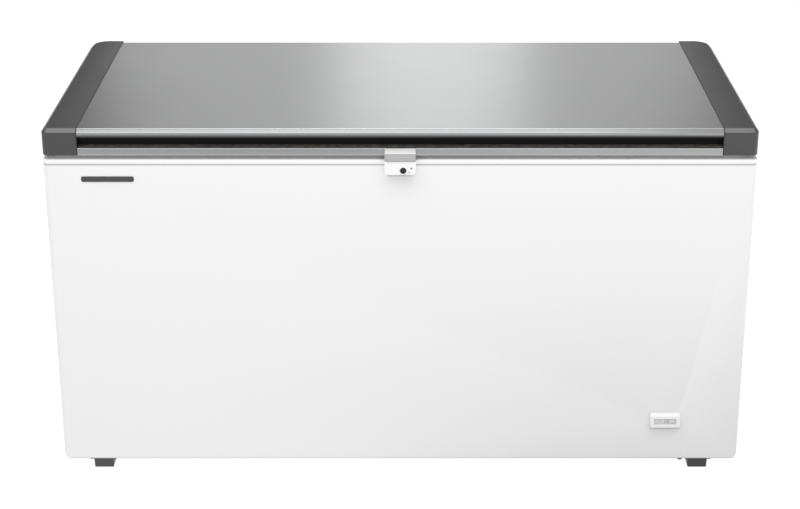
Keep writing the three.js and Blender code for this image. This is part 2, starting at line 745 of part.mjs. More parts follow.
// Grey strike on the lid's lower rail, with a pocket for the bolt.
function lidKeeper() {
  const [low, fold, top] = [LID_BOTTOM - 7.5, LID_BOTTOM + 11.8, LID_BOTTOM + 17.5];
  const [wide, narrow] = [35.5, 34.5];
  const side = outline([[KEEPER_FACE, low], [-GAP, low], [-GAP, top], [KEEPER_FACE, fold, 1.5]], 3);
  const face = outline([
    [-wide, low, 8],
    [wide, low, 8],
    [wide, fold, 1],
    [narrow, top + 2],
    [-narrow, top + 2],
    [-wide, fold, 1],
  ]);
  return alongX(side, wider([-wide, wide], 5))
    .intersect(alongY(face, [KEEPER_FACE - 5, 5]))
    .subtract(block(wider(BOLT.x, 1), wider(BOLT.y, 1), [low - 5, low + 12]));
}

// ---- Lid ------------------------------------------------------------------------------------------

const CHAMFER = 9; // along the top edges of the lid
const SLOT = { low: LID_BOTTOM + 17.5, high: LID_TOP - 26, depth: 24 }; // the finger grip
const NOSE = 11; // radius of the bead's lower edge, over the grip

// Aluminium section along the lid's front: a bead with a bevel and a round nose, the grip and a lower rail.
function handleProfile() {
  const wall = 2;
  const top = LID_TOP - 1;
  const back = SLOT.depth + 4;
  const section = outline(
    [
      [back, top - 1.3],
      [CHAMFER + GAP, top - 1.3],
      [CHAMFER, top],
      [0, top - CHAMFER, 1.5],
      [0, SLOT.high, NOSE],
      [SLOT.depth, SLOT.high],
      [SLOT.depth, SLOT.low],
      [0, SLOT.low, 1.2],
      [0, LID_BOTTOM, 1.2],
      [back, LID_BOTTOM],
      [back, LID_BOTTOM + wall],
      [wall, LID_BOTTOM + wall],
      [wall, SLOT.low - wall],
      [SLOT.depth + wall, SLOT.low - wall],
      [SLOT.depth + wall, SLOT.high + wall],
      [wall, SLOT.high + wall, NOSE - wall],
      [wall, top - CHAMFER - 1],
      [CHAMFER + 0.5, top - 3.3],
      [back, top - 3.3],
    ],
    5,
  );
  return alongX(section, [-CAP_INNER + GAP, CAP_INNER - GAP]);
}

// Black channel that lines the grip, with a flat floor.
function gripInsert() {
  const [low, high, back] = [SLOT.low + GAP, SLOT.high - GAP, SLOT.depth - GAP];
  const [floor, wall] = [1.2, 2];
  const section = outline([
    [NOSE + 1, high],
    [back, high],
    [back, low],
    [1.5, low],
    [1.5, low + floor],
    [back - wall, low + floor, 3],
    [back - wall, high - wall, 2],
    [NOSE + 1, high - wall],
  ]);
  return alongX(section, [-CAP_INNER + GAP, CAP_INNER - GAP]);
}

// Stainless steel sheet over the foam, folded down at the back and then under.
function lidSkin() {
  const [top, front, low] = [LID_TOP - 1, CHAMFER + GAP, LID_BOTTOM];
  const fold = LID_REAR - 24;
  const section = outline(
    [
      [front, top],
      [LID_REAR, top, 9],
      [LID_REAR, low],
      [fold, low],
      [fold, low + SHEET],
      [LID_REAR - SHEET, low + SHEET],
      [LID_REAR - SHEET, top - SHEET, 8],
      [front, top - SHEET],
    ],
    5,
  );
  return alongX(section, [-CAP_INNER + GAP, CAP_INNER - GAP]);
}

const CAP_CORNER = 46; // radius of a cap's rear corner, seen from above
const CAP_WALL = 3;

// The inside of the right cap, which the foam fills: it steps in under the cap's bevel.
function capInside([x0, x1], [near, far], [low, high]) {
  const layer = (end, top) => {
    const corner = CAP_CORNER - (CAP_REAR - far);
    const plan = outline([[x0, near], [end, near], [end, far, corner], [x0, far]], 6);
    return alongZ(plan, [low, top]);
  };
  return layer(x1, LID_TOP - CHAMFER - (LID_HALF - x1) / 2).add(layer(x1 - CHAMFER, high));
}

// Cap over the lid's right end: bevelled all round its top, with a large rear corner, open inwards.
function endCap() {
  const [x0, x1] = [CAP_INNER, LID_HALF];
  const levels = [
    [LID_BOTTOM, 0],
    [LID_TOP - CHAMFER, 0],
    [LID_TOP, CHAMFER],
  ];
  const frontCorner = 14;
  const loop = (inset) => {
    const [side, rear] = [x1 - inset, CAP_REAR - inset];
    const corners = [
      [x0, inset],
      [side, inset, frontCorner - inset],
      [side, rear, CAP_CORNER - inset],
      [x0, rear],
    ];
    return outline(corners, 6).getPoints();
  };
  const loops = levels.map(([z, inset]) => loop(inset).slice(0, 16).map((p) => [p.x, p.y, z]));
  const count = loops[0].length;
  const index = [];
  for (let i = 0; i < loops.length - 1; i++)
    for (let k = 0; k < count; k++) {
      const [a, b] = [i * count + k, i * count + ((k + 1) % count)];
      index.push(a, b, b + count, a, b + count, a + count);
    }
  const lid = (loops.length - 1) * count;
  for (let k = 1; k < count - 1; k++) index.push(0, k + 1, k, lid, lid + k, lid + k + 1);
  const geometry = new THREE.BufferGeometry();
  geometry.setAttribute("position", new THREE.Float32BufferAttribute(loops.flat(2), 3));
  geometry.setIndex(index);
  const wall = CAP_WALL;
  const low = LID_BOTTOM + wall;
  const near = SLOT.depth + 5;
  return solid(geometry)
    .subtract(capInside([x0 - 5, x1 - wall], [near, LID_REAR + 1], [low, LID_TOP - wall - 2]))
    .subtract(block([x0 + wall, x1 - wall - 4], [4, near + 5], [low, LID_TOP - CHAMFER - wall]))
    .subtract(alongZ(flangePlan(GAP), [LID_BOTTOM - 5, low + 1]));
}

const PLUG = { x: LINER_HALF - 22, y: [LINER_FRONT + 22, LINER_BACK - 22], low: RIM_TOP - 20 };
const LINER_FLANGE = { inset: 34, thickness: 1.5 };

// The plug under the lid, grown by some distance. Its sides lean in by a slope.
function plugForm(grow, top) {
  const [low, slope] = [PLUG.low - grow, 10];
  const [left, right] = [-PLUG.x - grow, PLUG.x + grow];
  const [near, far] = [PLUG.y[0] - grow, PLUG.y[1] + grow];
  const shoulder = low + LID_BOTTOM - PLUG.low;
  const tapered = (a, b) =>
    outline([[a + slope, low], [b - slope, low], [b, shoulder], [b, top], [a, top], [a, shoulder]]);
  return alongZ(rectangle([left, right], [near, far], 40, 5), [low, top])
    .intersect(alongY(tapered(left, right), [0, BACK]))
    .intersect(alongX(tapered(near, far), [-HALF, HALF]));
}

// The outline of the liner's flange, grown by some distance.
function flangePlan(grow) {
  const inset = LINER_FLANGE.inset - grow;
  return rectangle([inset - LID_HALF, LID_HALF - inset], [inset, LID_REAR - inset + 8], 30 + grow);
}

// White inner skin of the lid: a flange under the foam, and the plug that drops into the opening.
function lidLiner() {
  const { thickness } = LINER_FLANGE;
  return alongZ(flangePlan(0), [LID_BOTTOM, LID_BOTTOM + thickness])
    .add(plugForm(0, LID_BOTTOM + 1))
    .subtract(plugForm(-thickness, LID_BOTTOM + 10));
}

function lidFoam() {
  const [end, low, high] = [LID_HALF - 4, LID_BOTTOM + 4, LID_TOP - 2 - GAP];
  const [near, far] = [SLOT.depth + 6, LID_REAR - SHEET - GAP];
  const middle = outline([[near, low], [far, low], [far, high, 8], [near, high]]);
  const edge = CAP_INNER - GAP;
  const rightEnd = capInside([edge, end], [near, far], [low, high - 3]);
  return alongX(middle, [-edge, edge])
    .add(rightEnd)
    .add(rightEnd.mirror([1, 0, 0]))
    .add(plugForm(-LINER_FLANGE.thickness - GAP, LID_BOTTOM + 6));
}

// Grey magnetic seal round the lid's underside.
function lidGasket() {
  const [low, high] = [RIM_TOP + GAP, LID_BOTTOM - GAP];
  const section = [
    [1.5, low, 24],
    [0, low + 2.5, 26],
    [2, low + 4.5, 24],
    [0, high - 2, 26],
    [1, high, 25],
    [20, high, 10],
    [21, high - 2, 10],
    [19, low + 4.5, 10],
    [21, low + 2.5, 10],
    [19.5, low, 10],
  ];
  return frame([-LID_HALF + 11, LID_HALF - 11], [10, LID_REAR - 4], section, 4);
}

// ---- Hinges ---------------------------------------------------------------------------------------

const AXIS = { y: BACK + 6, z: RIM_TOP + 5 };
const BARREL = { outer: 6, bore: 3.3, pin: 3 };
const HINGE_X = 420;

function barrel([x0, x1]) {
  return alongX(circle(AXIS.y, AXIS.z, BARREL.outer, 20), [x0, x1]);
}

function boreOut(manifold) {
  return manifold.subtract(alongX(circle(AXIS.y, AXIS.z, BARREL.bore, 16), [-50, 50]));
}

// Leaf on the cabinet's back, with a knuckle at each end.
function hingeBase() {
  const [y0, y1] = [BACK + GAP, BACK + 2.2];
  let leaf = block([-40, 40], [y0, y1], [RIM_BOTTOM - 80, RIM_BOTTOM - GAP]);
  for (const x of [[-40, -26], [26, 40]])
    leaf = leaf.add(barrel(x)).add(block(x, [y0 + 1, y1 + 1], [RIM_BOTTOM - 5, AXIS.z]));
  return boreOut(leaf);
}

// Leaf on the lid's back, with one knuckle.
function hingeArm() {
  const [y0, y1] = [LID_REAR + GAP, LID_REAR + 2.3];
  const tab = [-25.5, -8];
  const top = AXIS.z + BARREL.outer;
  const leaf = block([-34, 34], [y0, y1], [top - 2, LID_BOTTOM + 48]);
  return boreOut(leaf.add(barrel(tab)).add(block(tab, [y0, AXIS.y], [top - 2, top])));
}

function hingePin() {
  return alongX(circle(AXIS.y, AXIS.z, BARREL.pin, 12), [-41, 41]).add(
    alongX(circle(AXIS.y, AXIS.z, 4.6, 12), [-43, -40.4]),
  );
}

// Torsion spring that carries most of the lid's weight.
function hingeSpring() {
  const [turns, wire] = [8, 0.8];
  const length = 31;
  const coil = pipe(new Helix(4.4, (length - 2 * wire) / turns, turns), wire, turns * 8, 6);
  return coil.translate([-6.5 + wire, AXIS.y, AXIS.z]);
}

const SIDES = { left: -1, right: 1 };

function atHinge(name, manifold, material, side) {
  const mesh = piece(`${name}_${side}`, manifold, material);
  mesh.position.x = SIDES[side] * HINGE_X;
  return mesh;
}

// ---- Basket ---------------------------------------------------------------------------------------

const BASKET = { x: [335, 735], high: LEDGE + 8, low: LEDGE - 240, wall: 4, taper: 20 };

// Envelope of the wire basket: a tub that tapers down, with a rail that hooks over the shoulder.
function basketTub() {
  const { x, high, low, wall, taper } = BASKET;
  const [front, back] = [LINER_FRONT - 6, LINER_BACK + 6];
  const tub = (inset) => {
    const [x0, x1] = [x[0] + inset, x[1] - inset];
    const [y0, y1] = [front + 12 + inset, back - 12 - inset];
    const [bottom, top] = [low + inset, high + inset];
    const tapered = (a, b) =>
      outline([[a + taper, bottom, 12], [b - taper, bottom, 12], [b, top], [a, top]]);
    return alongY(tapered(x0, x1), [0, BACK]).intersect(alongX(tapered(y0, y1), [0, HALF]));
  };
  const rail = block(x, [front, back], [LEDGE + 0.6, LEDGE + 6])
    .subtract(block([x[0] + 6, x[1] - 6], [front + 14, back - 14], [low, HEIGHT]));
  const crop = block([0, HALF], [0, BACK], [0, LEDGE + 6]);
  return tub(0).subtract(tub(wall)).intersect(crop).add(rail);
}

// Plastic sleeve on the middle of each short side's top wire.
function basketGrip(x) {
  const middle = (LINER_FRONT + LINER_BACK) / 2;
  const section = rectangle([x - 7, x + 7], [LEDGE + 6.3, LEDGE + 12.5], 2.5, 3);
  return alongY(section, [middle - 60, middle + 60]);
}

// ---- Assembly -------------------------------------------------------------------------------------

const cabinet = new THREE.Group();
cabinet.add(
  piece("outer_shell", outerShell(), PAINTED_WHITE),
  piece("back_panel", backPanel(), PAINTED_WHITE),
  piece("base_plate", basePlate(), GALVANISED),
  piece("top_rim", topRim(), WHITE_PLASTIC),
  piece("inner_liner", innerLiner(), LINER_ALUMINIUM),
  piece("insulation_foam", insulationFoam(), FOAM),
  piece("side_grille", sideGrille(), WHITE_PLASTIC),
  piece("rear_cover", rearCover(), GALVANISED),
  piece("power_cord_gland", cordGland(), BLACK_PLASTIC),
  ...feet(),
  piece("base_bolt", baseBolt(), BLACK_PAINT),
  piece("front_badge", frontBadge(), GREY_PLASTIC),
  piece("drain_pipe", drainPipe(), WHITE_PLASTIC),
  piece("evaporator_coil", evaporatorCoil(), COPPER),
  piece("condenser_coil", condenserCoil(), BLACK_PAINT),
  piece("compressor", compressor(), BLACK_PAINT),
  piece("compressor_bracket", compressorBracket(), GALVANISED),
  ...grommets(),
  piece("start_relay", startRelay(), BLACK_PLASTIC),
  piece("filter_drier", filterDrier(), COPPER),
  piece("discharge_pipe", dischargePipe(), COPPER),
  piece("suction_pipe", suctionPipe(), COPPER),
  piece("thermostat", thermostat(), BLACK_PLASTIC),
  piece("thermostat_probe", thermostatProbe(), COPPER),
  piece("thermometer_housing", gaugeHousing(), WHITE_PLASTIC),
  piece("thermometer_display", gaugeDisplay(), DISPLAY),
  piece("thermometer_window", gaugeWindow(), CLEAR),
  piece("lock_housing", lockHousing(), WHITE_PLASTIC),
);

const lid = new THREE.Group();
const rightCap = piece("end_cap_right", endCap(), GREY_PLASTIC);
const leftCap = piece("end_cap_left", endCap().mirror([1, 0, 0]), GREY_PLASTIC);
lid.add(
  piece("lid_skin", lidSkin(), STAINLESS),
  piece("lid_foam", lidFoam(), FOAM),
  piece("lid_liner", lidLiner(), WHITE_PLASTIC),
  piece("lid_gasket", lidGasket(), SEAL),
  piece("handle_profile", handleProfile(), ALUMINIUM),
  piece("grip_insert", gripInsert(), BLACK_PLASTIC),
  leftCap,
  rightCap,
  piece("lid_keeper", lidKeeper(), CAST_GREY),
);

for (const side of Object.keys(SIDES)) {
  cabinet.add(
    atHinge("hinge_base", hingeBase(), GALVANISED, side),
    atHinge("hinge_pin", hingePin(), GALVANISED, side),
    atHinge("hinge_spring", hingeSpring(), GALVANISED, side),
  );
  lid.add(atHinge("hinge_arm", hingeArm(), GALVANISED, side));
}

const basket = new THREE.Group();
basket.add(
  piece("basket", basketTub(), WIRE_WHITE),
  piece("basket_grip_left", basketGrip(BASKET.x[0] + 8), GREY_PLASTIC),
  piece("basket_grip_right", basketGrip(BASKET.x[1] - 8), GREY_PLASTIC),
);

const freezer = new THREE.Group();
freezer.add(
  cabinet,
  lid,
  basket,
  piece("lock_cylinder", lockCylinder(), BLACK_PLASTIC),
  piece("lock_bolt", lockBolt(), GALVANISED),
  piece("thermostat_knob", thermostatKnob(), GREY_PLASTIC),
  piece("drain_plug", drainPlug(), WHITE_PLASTIC),
  piece("drain_cap", drainCap(), GREY_PLASTIC),
);
freezer.position.y = LOCK_PROUD - DEPTH / 2;

export default freezer;
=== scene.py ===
"""A commercial chest freezer: white cabinet, stainless steel lid, grey end caps and a wire basket.

Metres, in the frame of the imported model: x along the front, y from front to back, z up.
"""

import math

import bpy
from mathutils import Matrix, Vector


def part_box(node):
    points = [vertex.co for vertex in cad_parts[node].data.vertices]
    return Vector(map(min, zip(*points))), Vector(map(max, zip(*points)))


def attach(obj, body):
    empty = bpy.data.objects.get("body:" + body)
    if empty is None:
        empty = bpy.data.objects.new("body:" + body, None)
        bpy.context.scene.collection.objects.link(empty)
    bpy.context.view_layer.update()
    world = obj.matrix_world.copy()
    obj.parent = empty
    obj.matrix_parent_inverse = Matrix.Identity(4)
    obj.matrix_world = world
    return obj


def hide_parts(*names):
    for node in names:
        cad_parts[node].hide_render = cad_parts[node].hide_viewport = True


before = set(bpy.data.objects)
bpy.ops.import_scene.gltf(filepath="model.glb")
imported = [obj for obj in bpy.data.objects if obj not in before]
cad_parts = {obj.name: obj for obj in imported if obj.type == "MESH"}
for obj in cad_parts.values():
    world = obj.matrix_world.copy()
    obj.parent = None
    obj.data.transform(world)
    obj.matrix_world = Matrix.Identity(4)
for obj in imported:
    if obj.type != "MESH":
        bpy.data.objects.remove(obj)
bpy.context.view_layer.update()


# ---- Studio -----------------------------------------------------------------------------------------
# A white floor without an edge, a pale sky that is dimmer behind the freezer, one large softbox over its
# front, and a long lens at a standing person's eye height. The steel lid mirrors the sky behind it.

MM = 0.001
EYE = (0.0181, -4.4409, 2.1719)
LOOK_DOWN = math.radians(21.57)

camera_data = bpy.data.cameras.new("eye")
camera_data.sensor_width = 36.0
camera_data.lens = 83.87
camera_data.shift_x = -0.01
camera = bpy.data.objects.new("eye", camera_data)
camera.location = EYE
camera.rotation_euler = (math.pi / 2 - LOOK_DOWN, 0, 0)
bpy.context.collection.objects.link(camera)
bpy.context.scene.camera = camera
bpy.context.scene.view_settings.view_transform = "Standard"


def add_node(tree, kind, feeds, **settings):
    """Adds a shader node. Each named input gets a plain value or another node's output."""
    added = tree.nodes.new(f"ShaderNode{kind}")
    for label, value in settings.items():
        setattr(added, label, value)
    for label, value in feeds.items():
        if isinstance(value, bpy.types.NodeSocket):
            tree.links.new(value, added.inputs[label])
        else:
            added.inputs[label].default_value = value
    return added


def add_math(tree, operation, *values, clamp=False):
    """Adds a math node on plain values and other nodes' outputs, and gives its result."""
    feeds = dict(enumerate(values))
    return add_node(tree, "Math", feeds, operation=operation, use_clamp=clamp).outputs[0]


bpy.ops.object.select_all(action="DESELECT")
bpy.ops.mesh.primitive_plane_add(size=80, location=(0, 0, -0.5 * MM))
floor = bpy.context.active_object
floor.name = "studio_floor"
floor_paint = bpy.data.materials.new("studio_white")
floor_paint.use_nodes = True
floor_tree = floor_paint.node_tree
floor_shader = floor_tree.nodes["Principled BSDF"]
floor_shader.inputs["Base Color"].default_value = (0.1, 0.1, 0.1, 1)
floor_shader.inputs["Roughness"].default_value = 0.9
floor_shader.inputs["Emission Color"].default_value = (1, 1, 1, 1)
floor.data.materials.append(floor_paint)

# The floor looks evenly white, but lights the freezer's lower right less than the rest.
SHADED_SPOT = (0.75, -0.75, 0)
floor_place = add_node(floor_tree, "TexCoord", {})
from_spot = add_node(
    floor_tree, "VectorMath", {0: floor_place.outputs["Object"], 1: SHADED_SPOT}, operation="DISTANCE",
)
falloff = add_node(
    floor_tree, "MapRange",
    {
        "Value": from_spot.outputs["Value"],
        "From Min": 0.1, "From Max": 1.35, "To Min": 0.43, "To Max": 0.9,
    },
    interpolation_type="SMOOTHSTEP",
)
floor_axes = add_node(floor_tree, "SeparateXYZ", {0: floor_place.outputs["Object"]})
rightward = add_node(floor_tree, "MapRange", {
    "Value": floor_axes.outputs["X"],
    "From Min": -0.4, "From Max": 0.9, "To Min": 0.97, "To Max": 1.3,
})
lit_floor = add_math(floor_tree, "MULTIPLY", falloff.outputs["Result"], rightward.outputs["Result"])
floor_seen = add_node(floor_tree, "LightPath", {})
floor_level = add_node(
    floor_tree, "Mix", {"Factor": floor_seen.outputs["Is Camera Ray"], "A": lit_floor, "B": 1.0},
)
floor_tree.links.new(floor_level.outputs["Result"], floor_shader.inputs["Emission Strength"])

softbox_data = bpy.data.lights.new("softbox", "AREA")
softbox_data.shape = "RECTANGLE"
softbox_data.size = 3.8
softbox_data.size_y = 1.5
softbox_data.energy = 28
softbox = bpy.data.objects.new("softbox", softbox_data)
softbox.location = (-0.3, -1.45, 3.4)
softbox.rotation_euler = (math.radians(22), math.radians(-5), 0)
bpy.context.collection.objects.link(softbox)

sky = bpy.data.worlds.new("studio_sky")
bpy.context.scene.world = sky
sky.use_nodes = True
sky_tree = sky.node_tree
sky_tree.nodes.clear()
direction = add_node(sky_tree, "TexCoord", {})
split = add_node(sky_tree, "SeparateXYZ", {0: direction.outputs["Generated"]})

# Behind the freezer the sky's tone follows the bearing: a bright panel in the middle, dim wings.
LEAST_FORWARD = 0.02
RAMP_PER_BEARING = 1.25
RAMP_MIDDLE = 0.5
forward = add_math(sky_tree, "MAXIMUM", split.outputs["Y"], LEAST_FORWARD)
bearing = add_math(sky_tree, "DIVIDE", split.outputs["X"], forward)
ramp_place = add_math(sky_tree, "MULTIPLY_ADD", bearing, RAMP_PER_BEARING, RAMP_MIDDLE, clamp=True)
ramp = add_node(sky_tree, "ValToRGB", {"Fac": ramp_place})
ramp.color_ramp.interpolation = "EASE"
PANEL_TONES = (
    (0.0, 0.46), (0.2, 0.22), (0.262, 0.18), (0.285, 0.33), (0.31, 0.49), (0.35, 0.54), (0.425, 0.55),
    (0.445, 0.66), (0.464, 0.9), (0.5, 0.98), (0.54, 0.98), (0.568, 0.88), (0.588, 0.62),
    (0.61, 0.55), (0.66, 0.53), (0.69, 0.48), (0.73, 0.28), (0.8, 0.22), (1.0, 0.46),
)
ramp.color_ramp.elements.remove(ramp.color_ramp.elements[1])
for index, (place, tone) in enumerate(PANEL_TONES):
    element = ramp.color_ramp.elements.new(place) if index else ramp.color_ramp.elements[0]
    element.position = place
    element.color = (tone, tone, tone, 1)

# The rest of the sky is paler, and falls off a little to both sides.
PANEL_START = 0.15
PANEL_SHARPNESS = 5.0
FRONT_TONE = 0.96
SIDE_FALL = 0.3
past_start = add_math(sky_tree, "ADD", split.outputs["Y"], -PANEL_START)
behind = add_math(sky_tree, "MULTIPLY", past_start, PANEL_SHARPNESS, clamp=True)
side = add_math(sky_tree, "MULTIPLY", split.outputs["X"], split.outputs["X"])
front_level = add_math(sky_tree, "SUBTRACT", FRONT_TONE, add_math(sky_tree, "MULTIPLY", side, SIDE_FALL))
blend = add_node(
    sky_tree, "Mix", {"Factor": behind, "A": front_level, "B": ramp.outputs["Color"]}, data_type="RGBA",
)
glow = add_node(sky_tree, "Background", {"Color": blend.outputs["Result"]})
plain = add_node(sky_tree, "Background", {"Color": (1, 1, 1, 1)})
seen = add_node(sky_tree, "LightPath", {})
either = add_node(sky_tree, "MixShader", {
    "Fac": seen.outputs["Is Camera Ray"], 1: glow.outputs[0], 2: plain.outputs[0],
})
add_node(sky_tree, "OutputWorld", {"Surface": either.outputs[0]})


# ---- Outer shell ------------------------------------------------------------------------------------
# One sheet of 1 mm steel, folded round the front and both sides with a turned-in lower edge, and powder
# coated white. The coat shows a faint orange peel; its lower edge and a band under the rim are painted
# darker as shade.


def take_up(piece):
    """Makes one object the only selected one, and the active one."""
    bpy.ops.object.select_all(action="DESELECT")
    piece.select_set(True)
    bpy.context.view_layer.objects.active = piece


def welded(node, name):
    """A copy of a frame part with its triangles welded and its flat faces whole."""
    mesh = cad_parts[node].data.copy()
    mesh.materials.clear()
    piece = bpy.data.objects.new(name, mesh)
    bpy.context.collection.objects.link(piece)
    take_up(piece)
    bpy.ops.mesh.customdata_custom_splitnormals_clear()
    bpy.ops.object.mode_set(mode="EDIT")
    bpy.ops.mesh.select_all(action="SELECT")
    bpy.ops.mesh.remove_doubles(threshold=0.01 * MM)
    bpy.ops.mesh.dissolve_limited(angle_limit=math.radians(0.5))
    bpy.ops.object.mode_set(mode="OBJECT")
    return piece


def soften(piece, width, segments=3):
    """Rounds every sharp edge of a piece, and shades its curves smoothly."""
    take_up(piece)
    if width:
        edge = piece.modifiers.new("edge", "BEVEL")
        edge.width = width
        edge.segments = segments
        edge.limit_method = "ANGLE"
        edge.angle_limit = math.radians(40)
        bpy.ops.object.modifier_apply(modifier=edge.name)
    bpy.ops.object.shade_smooth_by_angle(angle=math.radians(36))


def fit(piece, finish, body, slot, *nodes):
    """Gives a finished piece its material and its body, and hides the parts that it stands for. Its slot
    is not used.
    """
    piece.data.materials.clear()
    piece.data.materials.append(finish)
    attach(piece, body)
    if nodes:
        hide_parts(*nodes)

def carry(node, name, edge_width, finish, body, slot):
    """Takes over a frame part as one piece: welded, its edges rounded, and fitted."""
    piece = welded(node, name)
    soften(piece, edge_width)
    fit(piece, finish, body, slot, node)


def node_group(name, inputs, outputs):
    """An empty shader group with named sockets, its input node and its output node."""
    group = bpy.data.node_groups.new(name, "ShaderNodeTree")
    for label, kind, value in inputs:
        socket = group.interface.new_socket(name=label, in_out="INPUT", socket_type=kind)
        socket.default_value = value
    for label, kind in outputs:
        group.interface.new_socket(name=label, in_out="OUTPUT", socket_type=kind)
    return group, group.nodes.new("NodeGroupInput"), group.nodes.new("NodeGroupOutput")


FLOAT, COLOUR, VECTOR = "NodeSocketFloat", "NodeSocketColor", "NodeSocketVector"

# Grain: fine relief, a slow drift of tone, and roughness that follows both. Stretch turns it to brushing.
grain, given, made = node_group(
    "grain",
    [
        ("Colour", COLOUR, (0.8, 0.8, 0.8, 1)),
        ("Drift", FLOAT, 0.03),
        ("Streak", FLOAT, 0.0),
        ("Size", FLOAT, 900.0),
        ("Depth", FLOAT, 0.00002),
        ("Stretch", VECTOR, (1, 1, 1)),
        ("Polish", FLOAT, 0.3),
        ("Dull", FLOAT, 0.4),
    ],
    [("Colour", COLOUR), ("Roughness", FLOAT), ("Normal", VECTOR)],
)
where = add_node(grain, "TexCoord", {})
stretched = add_node(
    grain, "VectorMath", {0: where.outputs["Object"], 1: given.outputs["Stretch"]}, operation="MULTIPLY",
)
fine = add_node(grain, "TexNoise", {
    "Vector": stretched.outputs[0], "Scale": given.outputs["Size"], "Detail": 3.0,
})
slow = add_node(grain, "TexNoise", {"Vector": where.outputs["Object"], "Scale": 3.5, "Detail": 4.0})
relief = add_node(grain, "Bump", {"Height": fine.outputs["Fac"], "Distance": given.outputs["Depth"]})
drifted = add_math(grain, "MULTIPLY", given.outputs["Drift"], slow.outputs["Fac"])
streaked = add_math(grain, "MULTIPLY", given.outputs["Streak"], fine.outputs["Fac"])
shade = add_math(grain, "SUBTRACT", 1.0, add_math(grain, "ADD", drifted, streaked))
tinted = add_node(grain, "VectorMath", {0: given.outputs["Colour"], "Scale": shade}, operation="SCALE")
FINE_SHARE = 0.4
SLOW_SHARE = 0.6
slow_part = add_math(grain, "MULTIPLY", slow.outputs["Fac"], SLOW_SHARE)
dulled = add_node(grain, "MapRange", {
    "Value": add_math(grain, "MULTIPLY_ADD", fine.outputs["Fac"], FINE_SHARE, slow_part),
    "From Min": 0.3, "From Max": 0.7, "To Min": given.outputs["Polish"], "To Max": given.outputs["Dull"],
})
grain.links.new(tinted.outputs[0], made.inputs["Colour"])
grain.links.new(dulled.outputs["Result"], made.inputs["Roughness"])
grain.links.new(relief.outputs["Normal"], made.inputs["Normal"])

# Dust and painted light: a thin pale layer on what faces up, broken by a soft noise. Laid on thick, as
# on the grip channel, it also paints the light that the channel's floor catches.
DUST_AND_LIT_TOP_TONE = (0.42, 0.4, 0.37, 1)
dust_and_lit_top, given, made = node_group(
    "dust_and_lit_top",
    [("Colour", COLOUR, (0.8, 0.8, 0.8, 1)), ("Amount", FLOAT, 0.03)],
    [("Colour", COLOUR), ("Mask", FLOAT)],
)
facing = add_node(dust_and_lit_top, "NewGeometry", {})
upward = add_node(dust_and_lit_top, "SeparateXYZ", {0: facing.outputs["Normal"]})
lies = add_node(dust_and_lit_top, "MapRange", {"Value": upward.outputs["Z"], "From Min": 0.4, "From Max": 1.0})
dust_place = add_node(dust_and_lit_top, "TexCoord", {})
speckle = add_node(dust_and_lit_top, "TexNoise", {
    "Vector": dust_place.outputs["Object"], "Scale": 60.0, "Detail": 5.0,
})
layer = add_math(dust_and_lit_top, "MULTIPLY", lies.outputs["Result"], speckle.outputs["Fac"])
thin = add_math(dust_and_lit_top, "MULTIPLY", layer, given.outputs["Amount"])
over = add_node(
    dust_and_lit_top, "Mix", {"Factor": thin, "A": given.outputs["Colour"], "B": DUST_AND_LIT_TOP_TONE}, data_type="RGBA",
)
dust_and_lit_top.links.new(over.outputs["Result"], made.inputs["Colour"])
dust_and_lit_top.links.new(thin, made.inputs["Mask"])

# Painted facing light: where a face looks one way, in the object's own frame, its colour is painted
# lighter as light, or darker as shade.
painted_facing_light, given, made = node_group(
    "painted_facing_light",
    [
        ("Colour", COLOUR, (0.8, 0.8, 0.8, 1)),
        ("Painted", COLOUR, (0.5, 0.5, 0.5, 1)),
        ("Way", VECTOR, (0, 0, 1)),
        ("Start", FLOAT, 0.9),
        ("End", FLOAT, 1.0),
    ],
    [("Colour", COLOUR)],
)
own = add_node(painted_facing_light, "TexCoord", {})
along = add_node(
    painted_facing_light, "VectorMath", {0: own.outputs["Normal"], 1: given.outputs["Way"]}, operation="DOT_PRODUCT",
)
painted_share = add_node(
    painted_facing_light, "MapRange",
    {
        "Value": along.outputs["Value"],
        "From Min": given.outputs["Start"], "From Max": given.outputs["End"],
    },
    interpolation_type="SMOOTHSTEP",
)
painted_mix = add_node(
    painted_facing_light, "Mix",
    {"Factor": painted_share.outputs["Result"], "A": given.outputs["Colour"], "B": given.outputs["Painted"]},
    data_type="RGBA",
)
painted_facing_light.links.new(painted_mix.outputs["Result"], made.inputs["Colour"])

# Painted line: a soft band across one axis, painted dark as shade under an edge or in a joint, or light
# as a highlight along an edge.
painted_line, given, made = node_group(
    "painted_line",
    [
        ("Colour", COLOUR, (0.8, 0.8, 0.8, 1)),
        ("Line", COLOUR, (0.5, 0.5, 0.5, 1)),
        ("Axis", VECTOR, (0, 0, 1)),
        ("Height", FLOAT, 0.0),
        ("Width", FLOAT, 0.003),
    ],
    [("Colour", COLOUR)],
)
line_place = add_node(painted_line, "TexCoord", {})
line_along = add_node(
    painted_line, "VectorMath", {0: line_place.outputs["Object"], 1: given.outputs["Axis"]},
    operation="DOT_PRODUCT",
)
line_past = add_math(painted_line, "SUBTRACT", line_along.outputs["Value"], given.outputs["Height"])
line_share = add_node(
    painted_line, "MapRange",
    {
        "Value": add_math(painted_line, "ABSOLUTE", line_past),
        "From Max": given.outputs["Width"], "To Min": 1.0, "To Max": 0.0,
    },
    interpolation_type="SMOOTHSTEP",
)
line_mix = add_node(
    painted_line, "Mix",
    {"Factor": line_share.outputs["Result"], "A": given.outputs["Colour"], "B": given.outputs["Line"]},
    data_type="RGBA",
)
painted_line.links.new(line_mix.outputs["Result"], made.inputs["Colour"])


def recolour(material, effect, values):
    """Puts a colour effect between a material's last colour and its shader."""
    tree = material.node_tree
    shader = tree.nodes["Principled BSDF"]
    before = shader.inputs["Base Color"].links[0].from_socket
    added = add_node(tree, "Group", {"Colour": before, **values}, node_tree=effect)
    tree.links.new(added.outputs["Colour"], shader.inputs["Base Color"])


